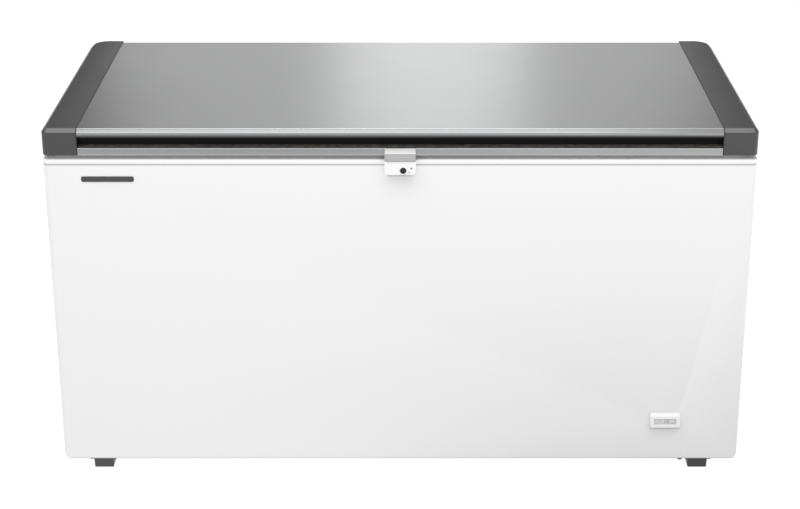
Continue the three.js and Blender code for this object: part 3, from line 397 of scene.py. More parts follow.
def surface(name, colour, size, depth, polish, dull, *, drift=0.03, streak=0.0, stretch=(1, 1, 1),
            dust_and_lit_top_amount=0.02, metallic=0.0, shader_values=()):
    """A material: the grain group and the dust-and-lit-top group feed colour, roughness and normal of one
    shader.
    """
    material = bpy.data.materials.new(name)
    material.use_nodes = True
    tree = material.node_tree
    shader = tree.nodes["Principled BSDF"]
    shader.inputs["Metallic"].default_value = metallic
    for label, value in shader_values:
        shader.inputs[label].default_value = value
    grained = add_node(
        tree, "Group",
        {
            "Colour": (*colour, 1), "Drift": drift, "Streak": streak, "Size": size, "Depth": depth,
            "Stretch": stretch, "Polish": polish, "Dull": dull,
        },
        node_tree=grain,
    )
    dust_and_lit_top_added = add_node(
        tree, "Group", {"Colour": grained.outputs["Colour"], "Amount": dust_and_lit_top_amount}, node_tree=dust_and_lit_top,
    )
    tree.links.new(dust_and_lit_top_added.outputs["Colour"], shader.inputs["Base Color"])
    tree.links.new(grained.outputs["Roughness"], shader.inputs["Roughness"])
    tree.links.new(grained.outputs["Normal"], shader.inputs["Normal"])
    return material


COAT_FINISH = {
    "size": 420, "depth": 0.012 * MM, "polish": 0.28, "dull": 0.36, "drift": 0.012,
    "shader_values": (("Coat Weight", 0.15), ("Coat Roughness", 0.12)),
}
powder_coat = surface("white_powder_coat", (0.885, 0.885, 0.89), **COAT_FINISH)
shell_coat = surface("white_shell_coat", (0.858, 0.858, 0.863), **COAT_FINISH)

# A painted shade line runs just under the rim's bead, and the lower edge is painted a little darker as
# shade.
RIM_TO_SHADE_LINE = 12.4 * MM  # from the rim's top down to the middle of the line
recolour(shell_coat, painted_line, {
    "Line": (0.5, 0.5, 0.505, 1), "Height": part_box("top_rim")[1].z - RIM_TO_SHADE_LINE, "Width": 4.2 * MM,
})
recolour(shell_coat, painted_line, {
    "Line": (0.56, 0.56, 0.565, 1), "Height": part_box("outer_shell")[0].z, "Width": 4 * MM,
})
carry("outer_shell", "shell_sheet", 0.35 * MM, shell_coat, "cabinet", "white_painted_steel")


# ---- Back panel and base ----------------------------------------------------------------------------
# The back is a flat coated sheet, held to the shell by cross-head screws down both sides. The base is
# zinc-plated sheet, with one dark domed bolt under the front edge, inboard of the right foot.

zinc_plate = surface(
    "zinc_plate", (0.43, 0.435, 0.44), 55, 0.01 * MM, 0.32, 0.5, drift=0.25, dust_and_lit_top_amount=0.1, metallic=1.0,
)
carry("back_panel", "back_sheet", 0, powder_coat, "cabinet", "white_painted_steel")
carry("base_plate", "base_sheet", 0, zinc_plate, "cabinet", "galvanised_steel")

SCREW_RADIUS = 3.6 * MM
SCREW_HEAD = 1.9 * MM
CROSS_ABOVE = 0.3 * MM  # from the head's top to the middle of the blade that cuts the cross
bpy.ops.object.select_all(action="DESELECT")
bpy.ops.mesh.primitive_cylinder_add(vertices=20, radius=SCREW_RADIUS, depth=SCREW_HEAD)
screw_head = bpy.context.active_object
screw_head.name = "screw_pattern"
take_up(screw_head)
for vertex in screw_head.data.vertices:
    vertex.select = vertex.co.z > 0
bpy.ops.object.mode_set(mode="EDIT")
bpy.ops.mesh.select_mode(type="VERT")
bpy.ops.mesh.inset(thickness=0.8 * MM, depth=0.5 * MM)
bpy.ops.object.mode_set(mode="OBJECT")
for angle in (0, math.pi / 2):
    bpy.ops.object.select_all(action="DESELECT")
    bpy.ops.mesh.primitive_cube_add(size=1, location=(0, 0, SCREW_HEAD / 2 + CROSS_ABOVE))
    blade = bpy.context.active_object
    blade.scale = (SCREW_RADIUS, 0.7 * MM, 2 * MM)
    blade.rotation_euler.z = angle
    take_up(screw_head)
    slot_cut = screw_head.modifiers.new("cross", "BOOLEAN")
    slot_cut.object = blade
    bpy.ops.object.modifier_apply(modifier=slot_cut.name)
    bpy.data.objects.remove(blade)


def joined(pieces, name):
    """Joins like pieces into the first of them, under one name."""
    take_up(pieces[0])
    for piece in pieces:
        piece.select_set(True)
    bpy.ops.object.join()
    pieces[0].name = name
    return pieces[0]


def screws(name, places, axis, finish, body, slot, size=1.0):
    """Copies of the screw head, seated at the given places and facing along an axis, as one piece."""
    turn = Vector((0, 0, 1)).rotation_difference(Vector(axis)).to_matrix().to_4x4()
    heads = []
    for place in places:
        head = bpy.data.objects.new(name, screw_head.data.copy())
        head.data.transform(turn)
        for vertex in head.data.vertices:
            vertex.co = vertex.co * size + Vector(place) + Vector(axis) * SCREW_HEAD * size / 2
        bpy.context.collection.objects.link(head)
        heads.append(head)
    head = joined(heads, name)
    soften(head, 0)
    fit(head, finish, body, slot)


back_low, back_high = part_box("back_panel")
SCREW_EDGE = 12 * MM
LOWEST_SCREW = 45 * MM
SCREW_ROWS = 6
ROWS_SHORTER = 75 * MM  # what the rows leave free of the panel's height
row_pitch = (back_high.z - back_low.z - ROWS_SHORTER) / (SCREW_ROWS - 1)
rows = [back_low.z + LOWEST_SCREW + k * row_pitch for k in range(SCREW_ROWS)]
screws(
    "back_screws",
    [(x, back_high.y, z) for x in (back_low.x + SCREW_EDGE, back_high.x - SCREW_EDGE) for z in rows],
    (0, 1, 0), zinc_plate, "cabinet", "galvanised_steel",
)

black_enamel = surface(
    "black_enamel", (0.017, 0.017, 0.018), 260, 0.02 * MM, 0.3, 0.42, drift=0.1, dust_and_lit_top_amount=0.12,
)
carry("base_bolt", "base_bolt_head", 0.3 * MM, black_enamel, "cabinet", "black_painted_steel")


# ---- Top rim and gasket -----------------------------------------------------------------------------
# The rim is an extruded white plastic frame that snaps over the walls' top edge. Its outer bead is the
# bright line round the cabinet. The gasket is a soft grey extrusion with a magnet strip inside.

WHITE_FINISH = {"size": 700, "depth": 0.006 * MM, "polish": 0.3, "dull": 0.38, "drift": 0.012}
white_moulding = surface("white_moulding", (0.9, 0.9, 0.9), **WHITE_FINISH)
carry("top_rim", "rim_frame", 0, white_moulding, "cabinet", "white_plastic")

seal_rubber = surface(
    "seal_rubber", (0.5, 0.5, 0.5), 500, 0.03 * MM, 0.6, 0.72, drift=0.06, dust_and_lit_top_amount=0.03,
)
carry("lid_gasket", "gasket_ring", 0, seal_rubber, "lid", "grey_seal")


# ---- Lid sheet --------------------------------------------------------------------------------------
# One stainless sheet, brushed along its length, laid over the foam and folded down and under behind.
# The brushing tilts the surface only across its lines, so reflections smear from front to back.

brushed_stainless = surface(
    "brushed_stainless", (0.63, 0.635, 0.64), 70, 0.02 * MM, 0.15, 0.19,
    drift=0.03, streak=0.05, stretch=(0.03, 7, 7), dust_and_lit_top_amount=0.0, metallic=1.0,
)
carry("lid_skin", "lid_sheet", 0, brushed_stainless, "lid", "brushed_stainless")


# ---- Handle and grip --------------------------------------------------------------------------------
# An aluminium extrusion closes the lid's front: a bevelled bead above, a flat rail below, and between
# them a slot for the fingers, lined by a black plastic channel that hides the foam.

brushed_aluminium = surface(
    "brushed_aluminium", (0.375, 0.377, 0.38), 80, 0.012 * MM, 0.24, 0.32,
    drift=0.04, streak=0.1, stretch=(0.03, 9, 9), dust_and_lit_top_amount=0.0, metallic=1.0,
)
UP, DOWN, BEVEL_WAY = (0, 0, 1), (0, 0, -1), (0, -0.707, 0.707)
# Faces that look down are painted dark as shade, and the bead's bevel is painted darker to dim its
# reflection.
recolour(brushed_aluminium, painted_facing_light, {
    "Painted": (0.06, 0.06, 0.061, 1), "Way": DOWN, "Start": 0.15, "End": 0.85,
})
recolour(brushed_aluminium, painted_facing_light, {
    "Painted": (0.3, 0.302, 0.305, 1), "Way": BEVEL_WAY, "Start": 0.6, "End": 0.9,
})
handle_low, handle_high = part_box("handle_profile")
slot_low, slot_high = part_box("grip_insert")
for height, width, tone in (
    (handle_high.z, 1.6 * MM, 0.8),  # the bead's upper edge, a painted highlight
    (slot_high.z + 6 * MM, 10 * MM, 0.06),  # the rounded nose over the slot, in its own shade
    (slot_low.z - 0.5 * MM, 2 * MM, 0.6),  # the slot's lower lip, a painted highlight
    (handle_low.z + 1.5 * MM, 1.8 * MM, 0.5),  # the rail's lower edge, a painted highlight
):
    recolour(brushed_aluminium, painted_line, {
        "Line": (tone, tone, tone * 1.01, 1), "Height": height, "Width": width,
    })
carry("handle_profile", "handle_extrusion", 0.3 * MM, brushed_aluminium, "lid", "brushed_aluminium")

black_moulding = surface(
    "black_moulding", (0.012, 0.012, 0.0125), 600, 0.012 * MM, 0.42, 0.55, drift=0.1,
)
# The channel's upward faces get a heavy pale layer: partly dust, partly painted light on its floor.
black_channel = surface(
    "black_channel", (0.008, 0.008, 0.0083), 600, 0.012 * MM, 0.5, 0.6,
    drift=0.1, dust_and_lit_top_amount=0.55, shader_values=(("Specular IOR Level", 0.12),),
)
carry("grip_insert", "grip_channel", 0, black_channel, "lid", "black_plastic")


# ---- End caps ---------------------------------------------------------------------------------------
# Two injection-moulded caps in dark grey, mirrored, pushed over the lid's ends. A bevel runs all round
# their top, and the surface is spark-eroded to a fine even grain. Screws hold them from below.

GREY_FINISH = {
    "size": 1300, "depth": 0.012 * MM, "polish": 0.34, "dull": 0.42, "drift": 0.06, "dust_and_lit_top_amount": 0.01,
    "shader_values": (("Specular IOR Level", 0.6),),
}
grey_moulding = surface("grey_moulding", (0.047, 0.047, 0.048), **GREY_FINISH)
cap_moulding = surface("cap_moulding", (0.047, 0.047, 0.048), **GREY_FINISH)

# The front bevel is painted paler as a highlight, and each cap's joint with the steel is painted dark as
# shade.
recolour(cap_moulding, painted_facing_light, {
    "Painted": (0.14, 0.14, 0.142, 1), "Way": BEVEL_WAY, "Start": 0.93, "End": 0.995,
})
for sign in (-1, 1):
    recolour(cap_moulding, painted_line, {
        "Line": (0.012, 0.012, 0.012, 1), "Axis": (sign, 0, 0), "Height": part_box("end_cap_right")[0].x,
        "Width": 4.5 * MM,
    })
for side in ("left", "right"):
    carry(f"end_cap_{side}", f"cap_{side}", 0.9 * MM, cap_moulding, "lid", "dark_grey_plastic")
cap_low, cap_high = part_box("end_cap_right")
CAP_SCREW_EDGE = 6 * MM
CAP_SCREW_PLACES = (-0.3, -0.1, 0.1, 0.3)
cap_screw_x = cap_high.x - CAP_SCREW_EDGE
screws(
    "cap_screws",
    [(sign * cap_screw_x, y, cap_low.z) for sign in (-1, 1) for y in CAP_SCREW_PLACES],
    (0, 0, -1), zinc_plate, "lid", "galvanised_steel",
)


# ---- Lock -------------------------------------------------------------------------------------------
# A satin zinc strike is screwed to the lid's rail, and below it a white moulded housing stands on the
# cabinet. It holds a black key cylinder, which lifts a flat steel bolt into the strike.

satin_casting = surface(
    "satin_casting", (0.46, 0.46, 0.465), 900, 0.012 * MM, 0.34, 0.44, drift=0.05, metallic=0.1,
)
# The strike's upward faces are painted pale as light, and its downward faces dark as shade.
recolour(satin_casting, painted_facing_light, {
    "Painted": (0.9, 0.9, 0.905, 1), "Way": UP, "Start": 0.1, "End": 0.4,
})
recolour(satin_casting, painted_facing_light, {
    "Painted": (0.06, 0.06, 0.06, 1), "Way": DOWN, "Start": 0.15, "End": 0.7,
})
carry("lid_keeper", "lock_strike", 1.1 * MM, satin_casting, "lid", "satin_zinc")
lock_moulding = surface("lock_moulding", (0.93, 0.93, 0.93), **WHITE_FINISH)
# The housing's lower edge is painted dark, as the shade under it.
recolour(lock_moulding, painted_line, {
    "Line": (0.3, 0.3, 0.3, 1), "Height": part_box("lock_housing")[0].z, "Width": 4 * MM,
})
carry("lock_housing", "lock_case", 1.3 * MM, lock_moulding, "cabinet", "white_plastic")
carry("lock_cylinder", "key_cylinder", 0.35 * MM, black_moulding, "lock_cylinder", "black_plastic")
carry("lock_bolt", "lock_bolt_plate", 0.4 * MM, zinc_plate, "lock_bolt", "galvanised_steel")

# A bright pin shows in the key's face, right of its middle.
key_low, key_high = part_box("lock_cylinder")
key_x, key_z = (key_low.x + key_high.x) / 2, (key_low.z + key_high.z) / 2
PIN_RADIUS = 2.4 * MM
PIN_DEPTH = 0.8 * MM
PIN_OFFSET = (4.2 * MM, 0.42 * MM, 0.5 * MM)
bpy.ops.object.select_all(action="DESELECT")
bpy.ops.mesh.primitive_cylinder_add(
    vertices=20, radius=PIN_RADIUS, depth=PIN_DEPTH, rotation=(math.pi / 2, 0, 0),
    location=(key_x + PIN_OFFSET[0], key_low.y + PIN_OFFSET[1], key_z + PIN_OFFSET[2]),
)
key_pin = bpy.context.active_object
key_pin.name = "key_pin"
bpy.ops.object.transform_apply(location=True, rotation=True, scale=True)
soften(key_pin, 0.3 * MM)
fit(key_pin, satin_casting, "lock_cylinder", "satin_zinc")

# Two small padlock signs beside the key show which way it locks.
grey_print = surface("grey_print", (0.2, 0.2, 0.2), 900, 0.002 * MM, 0.5, 0.6)
BOSS_PROUD = 3 * MM
case_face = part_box("lock_housing")[0].y + BOSS_PROUD


def padlock_sign(name, x, z, size, shackle_lift):
    """A padlock printed on the housing's face, made as a flat body and a ring for its shackle."""
    bpy.ops.object.select_all(action="DESELECT")
    bpy.ops.mesh.primitive_cube_add(size=1, location=(x, case_face, z))
    lock_body = bpy.context.active_object
    lock_body.scale = (size, 0.2 * MM, size * 0.75)
    bpy.ops.object.select_all(action="DESELECT")
    bpy.ops.mesh.primitive_torus_add(
        major_radius=size * 0.32, minor_radius=size * 0.09, major_segments=20, minor_segments=6,
        location=(x, case_face, z + size * 0.4 + shackle_lift), rotation=(math.pi / 2, 0, 0),
    )
    shackle = bpy.context.active_object
    for part in (lock_body, shackle):
        part.select_set(True)
    bpy.context.view_layer.objects.active = lock_body
    bpy.ops.object.transform_apply(location=True, rotation=True, scale=True)
    bpy.ops.object.join()
    lock_body.name = name
    soften(lock_body, 0.1 * MM)
    fit(lock_body, grey_print, "cabinet", "dark_grey_plastic")


padlock_sign("sign_locked", x=26 * MM, z=key_z + 4 * MM, size=4.4 * MM, shackle_lift=0)
padlock_sign("sign_open", x=20.5 * MM, z=key_z - 6 * MM, size=2.6 * MM, shackle_lift=1 * MM)


# ---- Thermometer and badge --------------------------------------------------------------------------
# A white hooded case is clipped through the front sheet. Behind its clear window a grey liquid crystal
# shows the temperature in seven-bar digits. A plain grey bar is stuck on the front's upper left.

gauge_moulding = surface("gauge_moulding", (0.93, 0.93, 0.93), **WHITE_FINISH)
# The case's lower edge is painted dark, as the shade under it.
recolour(gauge_moulding, painted_line, {
    "Line": (0.2, 0.2, 0.2, 1), "Height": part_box("thermometer_housing")[0].z, "Width": 4.5 * MM,
})
carry("thermometer_housing", "gauge_case", 1 * MM, gauge_moulding, "cabinet", "white_plastic")

# The hood throws a narrow shade across the display's upper edge.
HOOD_SHADE = 2.2 * MM
liquid_crystal = surface("liquid_crystal", (0.84, 0.85, 0.83), 300, 0.001 * MM, 0.25, 0.3, drift=0.1)
recolour(liquid_crystal, painted_line, {
    "Line": (0.12, 0.12, 0.12, 1), "Height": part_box("thermometer_display")[1].z - HOOD_SHADE,
    "Width": 3.2 * MM,
})
carry("thermometer_display", "gauge_display", 0.2 * MM, liquid_crystal, "cabinet", "display")
window_glass = surface(
    "window_glass", (0.95, 0.96, 0.96), 200, 0.0005 * MM, 0.02, 0.05,
    drift=0.0, dust_and_lit_top_amount=0.0, shader_values=(("Alpha", 0.12), ("IOR", 1.45)),
)
carry("thermometer_window", "gauge_window", 0.2 * MM, window_glass, "cabinet", "clear_plastic")

DIGIT_HEIGHT = 10 * MM
DIGIT_WIDTH = 5.6 * MM
DIGIT_FIRST = 14 * MM
DIGIT_PITCH = 9.5 * MM
BAR = 1.8 * MM
BAR_FLATNESS = 0.15
SEVEN_BARS = {  # bar name: centre as shares of the digit's half width and half height, upright or not
    "a": (0, 1, False), "b": (1, 0.5, True), "c": (1, -0.5, True), "d": (0, -1, False),
    "e": (-1, -0.5, True), "f": (-1, 0.5, True), "g": (0, 0, False),
}
LIT = {"-": "g", "1": "bc", "8": "abcdefg"}
show_low, show_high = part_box("thermometer_display")
bars = []
for place, sign in enumerate("-18"):
    digit_x = show_low.x + DIGIT_FIRST + place * DIGIT_PITCH
    for bar_name in LIT[sign]:
        across, up, upright = SEVEN_BARS[bar_name]
        length = DIGIT_HEIGHT / 2 - BAR if upright else DIGIT_WIDTH - BAR
        bpy.ops.object.select_all(action="DESELECT")
        bpy.ops.mesh.primitive_cylinder_add(
            vertices=6, radius=BAR / 2, depth=length, rotation=(0, 0 if upright else math.pi / 2, 0),
            location=(
                digit_x + across * DIGIT_WIDTH / 2,
                show_low.y,
                (show_low.z + show_high.z) / 2 + up * DIGIT_HEIGHT / 2,
            ),
        )
        bar = bpy.context.active_object
        bpy.ops.object.transform_apply(location=True, rotation=True, scale=True)
        for vertex in bar.data.vertices:
            vertex.co.y = show_low.y + (vertex.co.y - show_low.y) * BAR_FLATNESS
        bars.append(bar)
digits = joined(bars, "gauge_digits")
soften(digits, 0)
fit(digits, grey_print, "cabinet", "display")

carry("front_badge", "front_bar", 0.35 * MM, grey_moulding, "cabinet", "dark_grey_plastic")


# ---- Feet -------------------------------------------------------------------------------------------
# Four moulded feet, each a slightly tapered block that flares into a square flange under the base. They
# carry the freezer, so their lower edges are the first to scuff.

for corner in ("front_left", "front_right", "rear_left", "rear_right"):
    carry(
        f"foot_{corner}", f"stand_{corner}", 1.0 * MM, grey_moulding, "cabinet", "dark_grey_plastic",
    )


# ---- Hinges -----------------------------------------------------------------------------------------
# Two pressed steel hinges at the back. A leaf on the cabinet carries two knuckles and the pin, a leaf on
# the lid carries one, and a torsion spring wound round the pin takes most of the lid's weight.

spring_steel = surface(
    "spring_steel", (0.3, 0.3, 0.31), 900, 0.008 * MM, 0.25, 0.35, drift=0.1, dust_and_lit_top_amount=0.05, metallic=1.0,
)
SPRING_TURNS = 12
COIL_WIRE = 0.8 * MM
BASE_FACE = 2.2 * MM  # from the back sheet out to where the base's screws sit
HINGE_SCREW = 1.3  # times the size of the screws in the back
BASE_SCREW_X, BASE_SCREW_Z = (-26 * MM, 26 * MM), (14 * MM, 52 * MM)
ARM_SCREW_X, ARM_SCREW_DROP = (-24 * MM, 24 * MM), 14 * MM
ARM_FACE = 2.3 * MM  # from the lid's sheet out to where the arm's screws sit
for side in ("left", "right"):
    for part, body in (("base", "cabinet"), ("pin", "cabinet"), ("arm", "lid")):
        node = f"hinge_{part}_{side}"
        carry(node, f"{node}_plated", 0.25 * MM, zinc_plate, body, "galvanised_steel")

    coil_low, coil_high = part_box(f"hinge_spring_{side}")
    centre = (coil_low + coil_high) / 2
    outer = (coil_high.z - coil_low.z) / 2
    length = coil_high.x - coil_low.x - 2 * COIL_WIRE
    bpy.ops.object.select_all(action="DESELECT")
    bpy.ops.mesh.primitive_circle_add(
        vertices=8, radius=COIL_WIRE, fill_type="NOTHING", rotation=(math.pi / 2, 0, 0),
        location=(outer - COIL_WIRE, 0, 0),
    )
    spring = bpy.context.active_object
    spring.name = f"hinge_coil_{side}"
    bpy.ops.object.transform_apply(location=True, rotation=True, scale=True)
    winding = spring.modifiers.new("winding", "SCREW")
    winding.axis = "Z"
    winding.iterations = SPRING_TURNS
    winding.screw_offset = length / SPRING_TURNS
    winding.steps = winding.render_steps = 20
    bpy.ops.object.modifier_apply(modifier=winding.name)
    spring.rotation_euler = (0, math.pi / 2, 0)
    spring.location = (coil_low.x + COIL_WIRE, centre.y, centre.z)
    bpy.ops.object.transform_apply(location=True, rotation=True, scale=True)
    bpy.ops.object.mode_set(mode="EDIT")
    bpy.ops.mesh.select_all(action="SELECT")
    bpy.ops.mesh.remove_doubles(threshold=0.001 * MM)
    bpy.ops.mesh.fill_holes(sides=8)
    bpy.ops.mesh.normals_make_consistent(inside=False)
    bpy.ops.object.mode_set(mode="OBJECT")
    soften(spring, 0)
    fit(spring, spring_steel, "cabinet", "galvanised_steel", f"hinge_spring_{side}")

    leaf_low, leaf_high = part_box(f"hinge_base_{side}")
    middle = (leaf_low.x + leaf_high.x) / 2
    leaf_y = back_high.y + BASE_FACE
    base_places = [(middle + dx, leaf_y, leaf_low.z + dz) for dx in BASE_SCREW_X for dz in BASE_SCREW_Z]
    screws(
        f"hinge_base_screws_{side}", base_places,
        (0, 1, 0), spring_steel, "cabinet", "galvanised_steel", HINGE_SCREW,
    )
    arm_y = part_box("lid_skin")[1].y + ARM_FACE
    arm_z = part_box(f"hinge_arm_{side}")[1].z - ARM_SCREW_DROP
    screws(
        f"hinge_arm_screws_{side}", [(middle + dx, arm_y, arm_z) for dx in ARM_SCREW_X],
        (0, 1, 0), spring_steel, "lid", "galvanised_steel", HINGE_SCREW,
    )


# ---- Side grille and thermostat ---------------------------------------------------------------------
# A white moulded grille closes the compressor's recess in the right side. Its plain pad carries the
# thermostat's dark knob, which a coin can turn. Seven ticks are moulded round the knob.

carry("side_grille", "grille_panel", 0, white_moulding, "cabinet", "white_plastic")
carry(
    "thermostat_knob", "thermostat_dial", 0.7 * MM, grey_moulding, "thermostat_knob",
    "dark_grey_plastic",
)
knob_low, knob_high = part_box("thermostat_knob")
dial_y, dial_z = (knob_low.y + knob_high.y) / 2, (knob_low.z + knob_high.z) / 2
pad_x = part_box("side_grille")[0].x + 3 * MM
TICKS = 7
TICK_CIRCLE = 22 * MM
TICK_START, TICK_SWEEP = -135, 270
ticks = []
for k in range(TICKS):
    angle = math.radians(TICK_START + TICK_SWEEP * k / (TICKS - 1))
    bpy.ops.object.select_all(action="DESELECT")
    bpy.ops.mesh.primitive_cylinder_add(
        vertices=8, radius=0.6 * MM, depth=(3 + 0.5 * k) * MM, rotation=(-angle, 0, 0),
        location=(pad_x, dial_y + TICK_CIRCLE * math.sin(angle), dial_z + TICK_CIRCLE * math.cos(angle)),
    )
    bpy.ops.object.transform_apply(location=True, rotation=True, scale=True)
    ticks.append(bpy.context.active_object)
dial = joined(ticks, "dial_ticks")
soften(dial, 0.15 * MM)
fit(dial, grey_print, "cabinet", "dark_grey_plastic")


# ---- Rear cover -------------------------------------------------------------------------------------
# A zinc-plated cover closes the recess at the back. Each of its vents has a pressed hood that sheds
# water, and screws hold its four corners and sides. The mains lead's bushing sits at its lower corner.

carry("rear_cover", "machine_cover", 0, zinc_plate, "cabinet", "galvanised_steel")
cover_low, cover_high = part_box("rear_cover")
VENT_PITCH = 16 * MM
VENT_FIRST = 72 * MM
VENT_HEIGHT = 7 * MM
VENTS_END = 32 * MM  # below the cover's top edge
HOOD_DEPTH = 5 * MM
HOOD_MARGIN = 60 * MM  # what a hood leaves free of the cover's width
HOOD_LIP = 0.5 * MM
HOOD_SLOPE = 4 * MM
middle_x, middle_y = (cover_low.x + cover_high.x) / 2, cover_high.y + HOOD_DEPTH / 2
vent_z = cover_low.z + VENT_FIRST
hoods = []
while vent_z < cover_high.z - VENTS_END:
    middle_z = vent_z + VENT_HEIGHT / 2 + HOOD_LIP
    bpy.ops.object.select_all(action="DESELECT")
    bpy.ops.mesh.primitive_cube_add(size=1, location=(middle_x, middle_y, middle_z))
    hood = bpy.context.active_object
    hood.scale = (cover_high.x - cover_low.x - HOOD_MARGIN, HOOD_DEPTH, VENT_HEIGHT + 2 * MM)
    bpy.ops.object.transform_apply(location=True, rotation=True, scale=True)
    for vertex in hood.data.vertices:
        if vertex.co.y > middle_y and vertex.co.z > middle_z:
            vertex.co.y -= HOOD_SLOPE
    for face in hood.data.polygons:
        face.select = face.normal.z < -0.9 or face.normal.y < -0.9
    bpy.ops.object.mode_set(mode="EDIT")
    bpy.ops.mesh.select_mode(type="FACE")
    bpy.ops.mesh.delete(type="FACE")
    bpy.ops.object.mode_set(mode="OBJECT")
    wall = hood.modifiers.new("wall", "SOLIDIFY")
    wall.thickness = 0.7 * MM
    bpy.ops.object.modifier_apply(modifier=wall.name)
    hoods.append(hood)
    vent_z += VENT_PITCH
vents = joined(hoods, "cover_hoods")
soften(vents, 0.3 * MM)
fit(vents, zinc_plate, "cabinet", "galvanised_steel")
COVER_SCREW_X, COVER_SCREW_Z = 7 * MM, 8 * MM
sides = (cover_low.x + COVER_SCREW_X, cover_high.x - COVER_SCREW_X)
levels = (cover_low.z + COVER_SCREW_Z, (cover_low.z + cover_high.z) / 2, cover_high.z - COVER_SCREW_Z)
screws(
    "cover_screws", [(x, cover_high.y, z) for x in sides for z in levels],
    (0, 1, 0), spring_steel, "cabinet", "galvanised_steel",
)
carry("power_cord_gland", "lead_bushing", 0.5 * MM, black_moulding, "cabinet", "black_plastic")


# ---- Liner, drain and lid liner ---------------------------------------------------------------------
# The tub is coated aluminium sheet with a fine pressed pattern, stepped up over the compressor. A plug
# in its floor closes the drain, whose cap is underneath. The lid's inner skin is formed white plastic.

pressed_liner = surface(
    "pressed_liner", (0.8, 0.8, 0.81), 150, 0.35 * MM, 0.3, 0.42, drift=0.02, metallic=0.15,
)
carry("inner_liner", "tub_liner", 0, pressed_liner, "cabinet", "liner_aluminium")
carry("drain_pipe", "drain_tube", 0.4 * MM, white_moulding, "cabinet", "white_plastic")
carry("drain_plug", "drain_stopper", 0.4 * MM, white_moulding, "drain_plug", "white_plastic")
carry("drain_cap", "drain_outlet_cap", 0.4 * MM, grey_moulding, "drain_cap", "dark_grey_plastic")
carry("lid_liner", "lid_inner_skin", 0, white_moulding, "lid", "white_plastic")


# ---- Refrigeration ----------------------------------------------------------------------------------
# The compressor stands on rubber mounts in the recess, with its relay box, drier and copper pipes. Its
# shell is two deep-drawn black cups welded at a seam. The coils are buried in the walls.

drawn_copper = surface(
    "drawn_copper", (0.55, 0.25, 0.14), 300, 0.006 * MM, 0.25, 0.4, drift=0.35, dust_and_lit_top_amount=0.08, metallic=1.0,
)
mount_rubber = surface("mount_rubber", (0.014, 0.014, 0.014), 400, 0.03 * MM, 0.65, 0.8, dust_and_lit_top_amount=0.2)
machine_parts = [
    ("compressor", black_enamel, "black_painted_steel", 0),
    ("compressor_bracket", zinc_plate, "galvanised_steel", 0),
    ("start_relay", black_moulding, "black_plastic", 0.8 * MM),
    ("filter_drier", drawn_copper, "copper", 0),
    ("discharge_pipe", drawn_copper, "copper", 0),
    ("suction_pipe", drawn_copper, "copper", 0),
    ("thermostat", black_moulding, "black_plastic", 0.6 * MM),
    ("thermostat_probe", drawn_copper, "copper", 0),
]
machine_parts += [(f"compressor_grommet_{k}", mount_rubber, "black_rubber", 0) for k in range(1, 5)]
for node, finish, slot, edge_width in machine_parts:
    carry(node, f"{node}_fitted", edge_width, finish, "cabinet", slot)

rolled_aluminium = surface(
    "rolled_aluminium", (0.6, 0.6, 0.61), 400, 0.006 * MM, 0.3, 0.45, drift=0.1, metallic=1.0,
)
rigid_foam = surface("rigid_foam", (0.75, 0.65, 0.42), 800, 0.3 * MM, 0.85, 0.95, drift=0.15)
buried = {
    "evaporator_coil": rolled_aluminium,
    "condenser_coil": black_enamel,
    "insulation_foam": rigid_foam,
    "lid_foam": rigid_foam,
}
for node, finish in buried.items():
    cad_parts[node].data.materials.clear()
    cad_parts[node].data.materials.append(finish)


# ---- Basket -----------------------------------------------------------------------------------------
# A basket of plastic-coated steel wire hangs from the rim's shoulder by a thicker top wire. Thin wires
# run down, under and up again both ways, welded to rings, and two grey sleeves are its grips.

coated_wire = surface("coated_wire", (0.86, 0.86, 0.86), 500, 0.01 * MM, 0.3, 0.4, drift=0.03)
basket_low, basket_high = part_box("basket")
RAIL = 2.6 * MM
ROD = 1.6 * MM
REACH = 12 * MM  # from the rail to the basket's wall
TAPER = 20 * MM
CORNER_ROD = 44 * MM  # from the basket's edge to its first rod
rail_z = basket_high.z - RAIL
floor_z = basket_low.z + ROD
basket_wires = []


def wire_through(points, radius, bend, closed):
    """A round wire through points: one vertex is extruded from point to point, then bent and swept."""
    bpy.ops.object.select_all(action="DESELECT")
    bpy.ops.mesh.primitive_plane_add(size=MM, location=points[0])
    wire_piece = bpy.context.active_object
    bpy.ops.object.transform_apply(location=True, rotation=True, scale=True)
    bpy.ops.object.mode_set(mode="EDIT")
    bpy.ops.mesh.select_mode(type="VERT")
    bpy.ops.mesh.select_all(action="SELECT")
    bpy.ops.mesh.merge(type="CENTER")
    for here, there in zip(points, points[1:]):
        step = Vector(there) - Vector(here)
        bpy.ops.mesh.extrude_region_move(TRANSFORM_OT_translate={"value": step})
    bpy.ops.mesh.select_all(action="SELECT")
    if closed:
        bpy.ops.mesh.remove_doubles(threshold=0.01 * MM)
    bpy.ops.mesh.bevel(offset=bend, segments=4, affect="VERTICES")
    bpy.ops.object.mode_set(mode="OBJECT")
    bpy.ops.object.convert(target="CURVE")
    wire_piece.data.bevel_depth = radius
    wire_piece.data.bevel_resolution = 1
    wire_piece.data.use_fill_caps = not closed
    bpy.ops.object.convert(target="MESH")
    basket_wires.append(wire_piece)
    return wire_piece


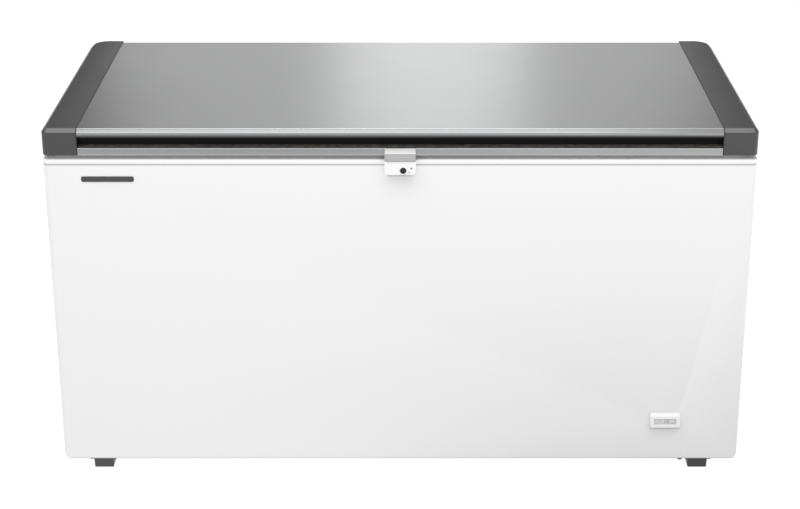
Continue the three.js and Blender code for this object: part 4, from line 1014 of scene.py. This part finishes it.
def ring(inset, z, radius, bend):
    """A closed wire round the basket, some way in from its box."""
    x0, x1 = basket_low.x + inset, basket_high.x - inset
    y0, y1 = basket_low.y + inset, basket_high.y - inset
    wire_through([(x0, y0, z), (x1, y0, z), (x1, y1, z), (x0, y1, z), (x0, y0, z)], radius, bend, True)


def repeat(wire_piece, count, step):
    """Copies of a wire, one step apart."""
    for k in range(1, count):
        again = bpy.data.objects.new("wire", wire_piece.data.copy())
        again.data.transform(Matrix.Translation(Vector(step) * k))
        bpy.context.collection.objects.link(again)
        basket_wires.append(again)


ring(RAIL, rail_z, RAIL, 18 * MM)
RINGS = 4
for k in range(RINGS):
    share = (k + 0.6) / RINGS
    ring_z = rail_z + (floor_z - rail_z) * share
    ring(REACH + ROD + TAPER * share, ring_z, ROD, 14 * MM)

ACROSS, ALONG = 9, 14
side_low, side_high = basket_low.x + CORNER_ROD, basket_high.x - CORNER_ROD
front_low, front_high = basket_low.y + CORNER_ROD, basket_high.y - CORNER_ROD
for lead in ("x", "y"):
    a0, a1 = (basket_low.y, basket_high.y) if lead == "x" else (basket_low.x, basket_high.x)
    b = side_low if lead == "x" else front_low
    profile = [
        (a0 + RAIL, rail_z - RAIL), (a0 + REACH, rail_z - RAIL - ROD), (a0 + REACH + TAPER, floor_z),
        (a1 - REACH - TAPER, floor_z), (a1 - REACH, rail_z - RAIL - ROD), (a1 - RAIL, rail_z - RAIL),
    ]
    drop = 0 if lead == "x" else 2 * ROD
    points = [(b, a, z + drop) if lead == "x" else (a, b, z + drop) for a, z in profile]
    rod = wire_through(points, ROD, 3.5 * MM, False)
    if lead == "x":
        repeat(rod, ACROSS, ((side_high - side_low) / (ACROSS - 1), 0, 0))
    else:
        repeat(rod, ALONG, (0, (front_high - front_low) / (ALONG - 1), 0))
wires = joined(basket_wires, "basket_wires")
bpy.ops.object.shade_smooth()
fit(wires, coated_wire, "basket", "coated_wire", "basket")
for side in ("left", "right"):
    carry(
        f"basket_grip_{side}", f"basket_sleeve_{side}", 0.8 * MM, grey_moulding, "basket",
        "dark_grey_plastic",
    )


# ---- End --------------------------------------------------------------------------------------------
# The screw's pattern piece is put away.

bpy.data.objects.remove(screw_head)
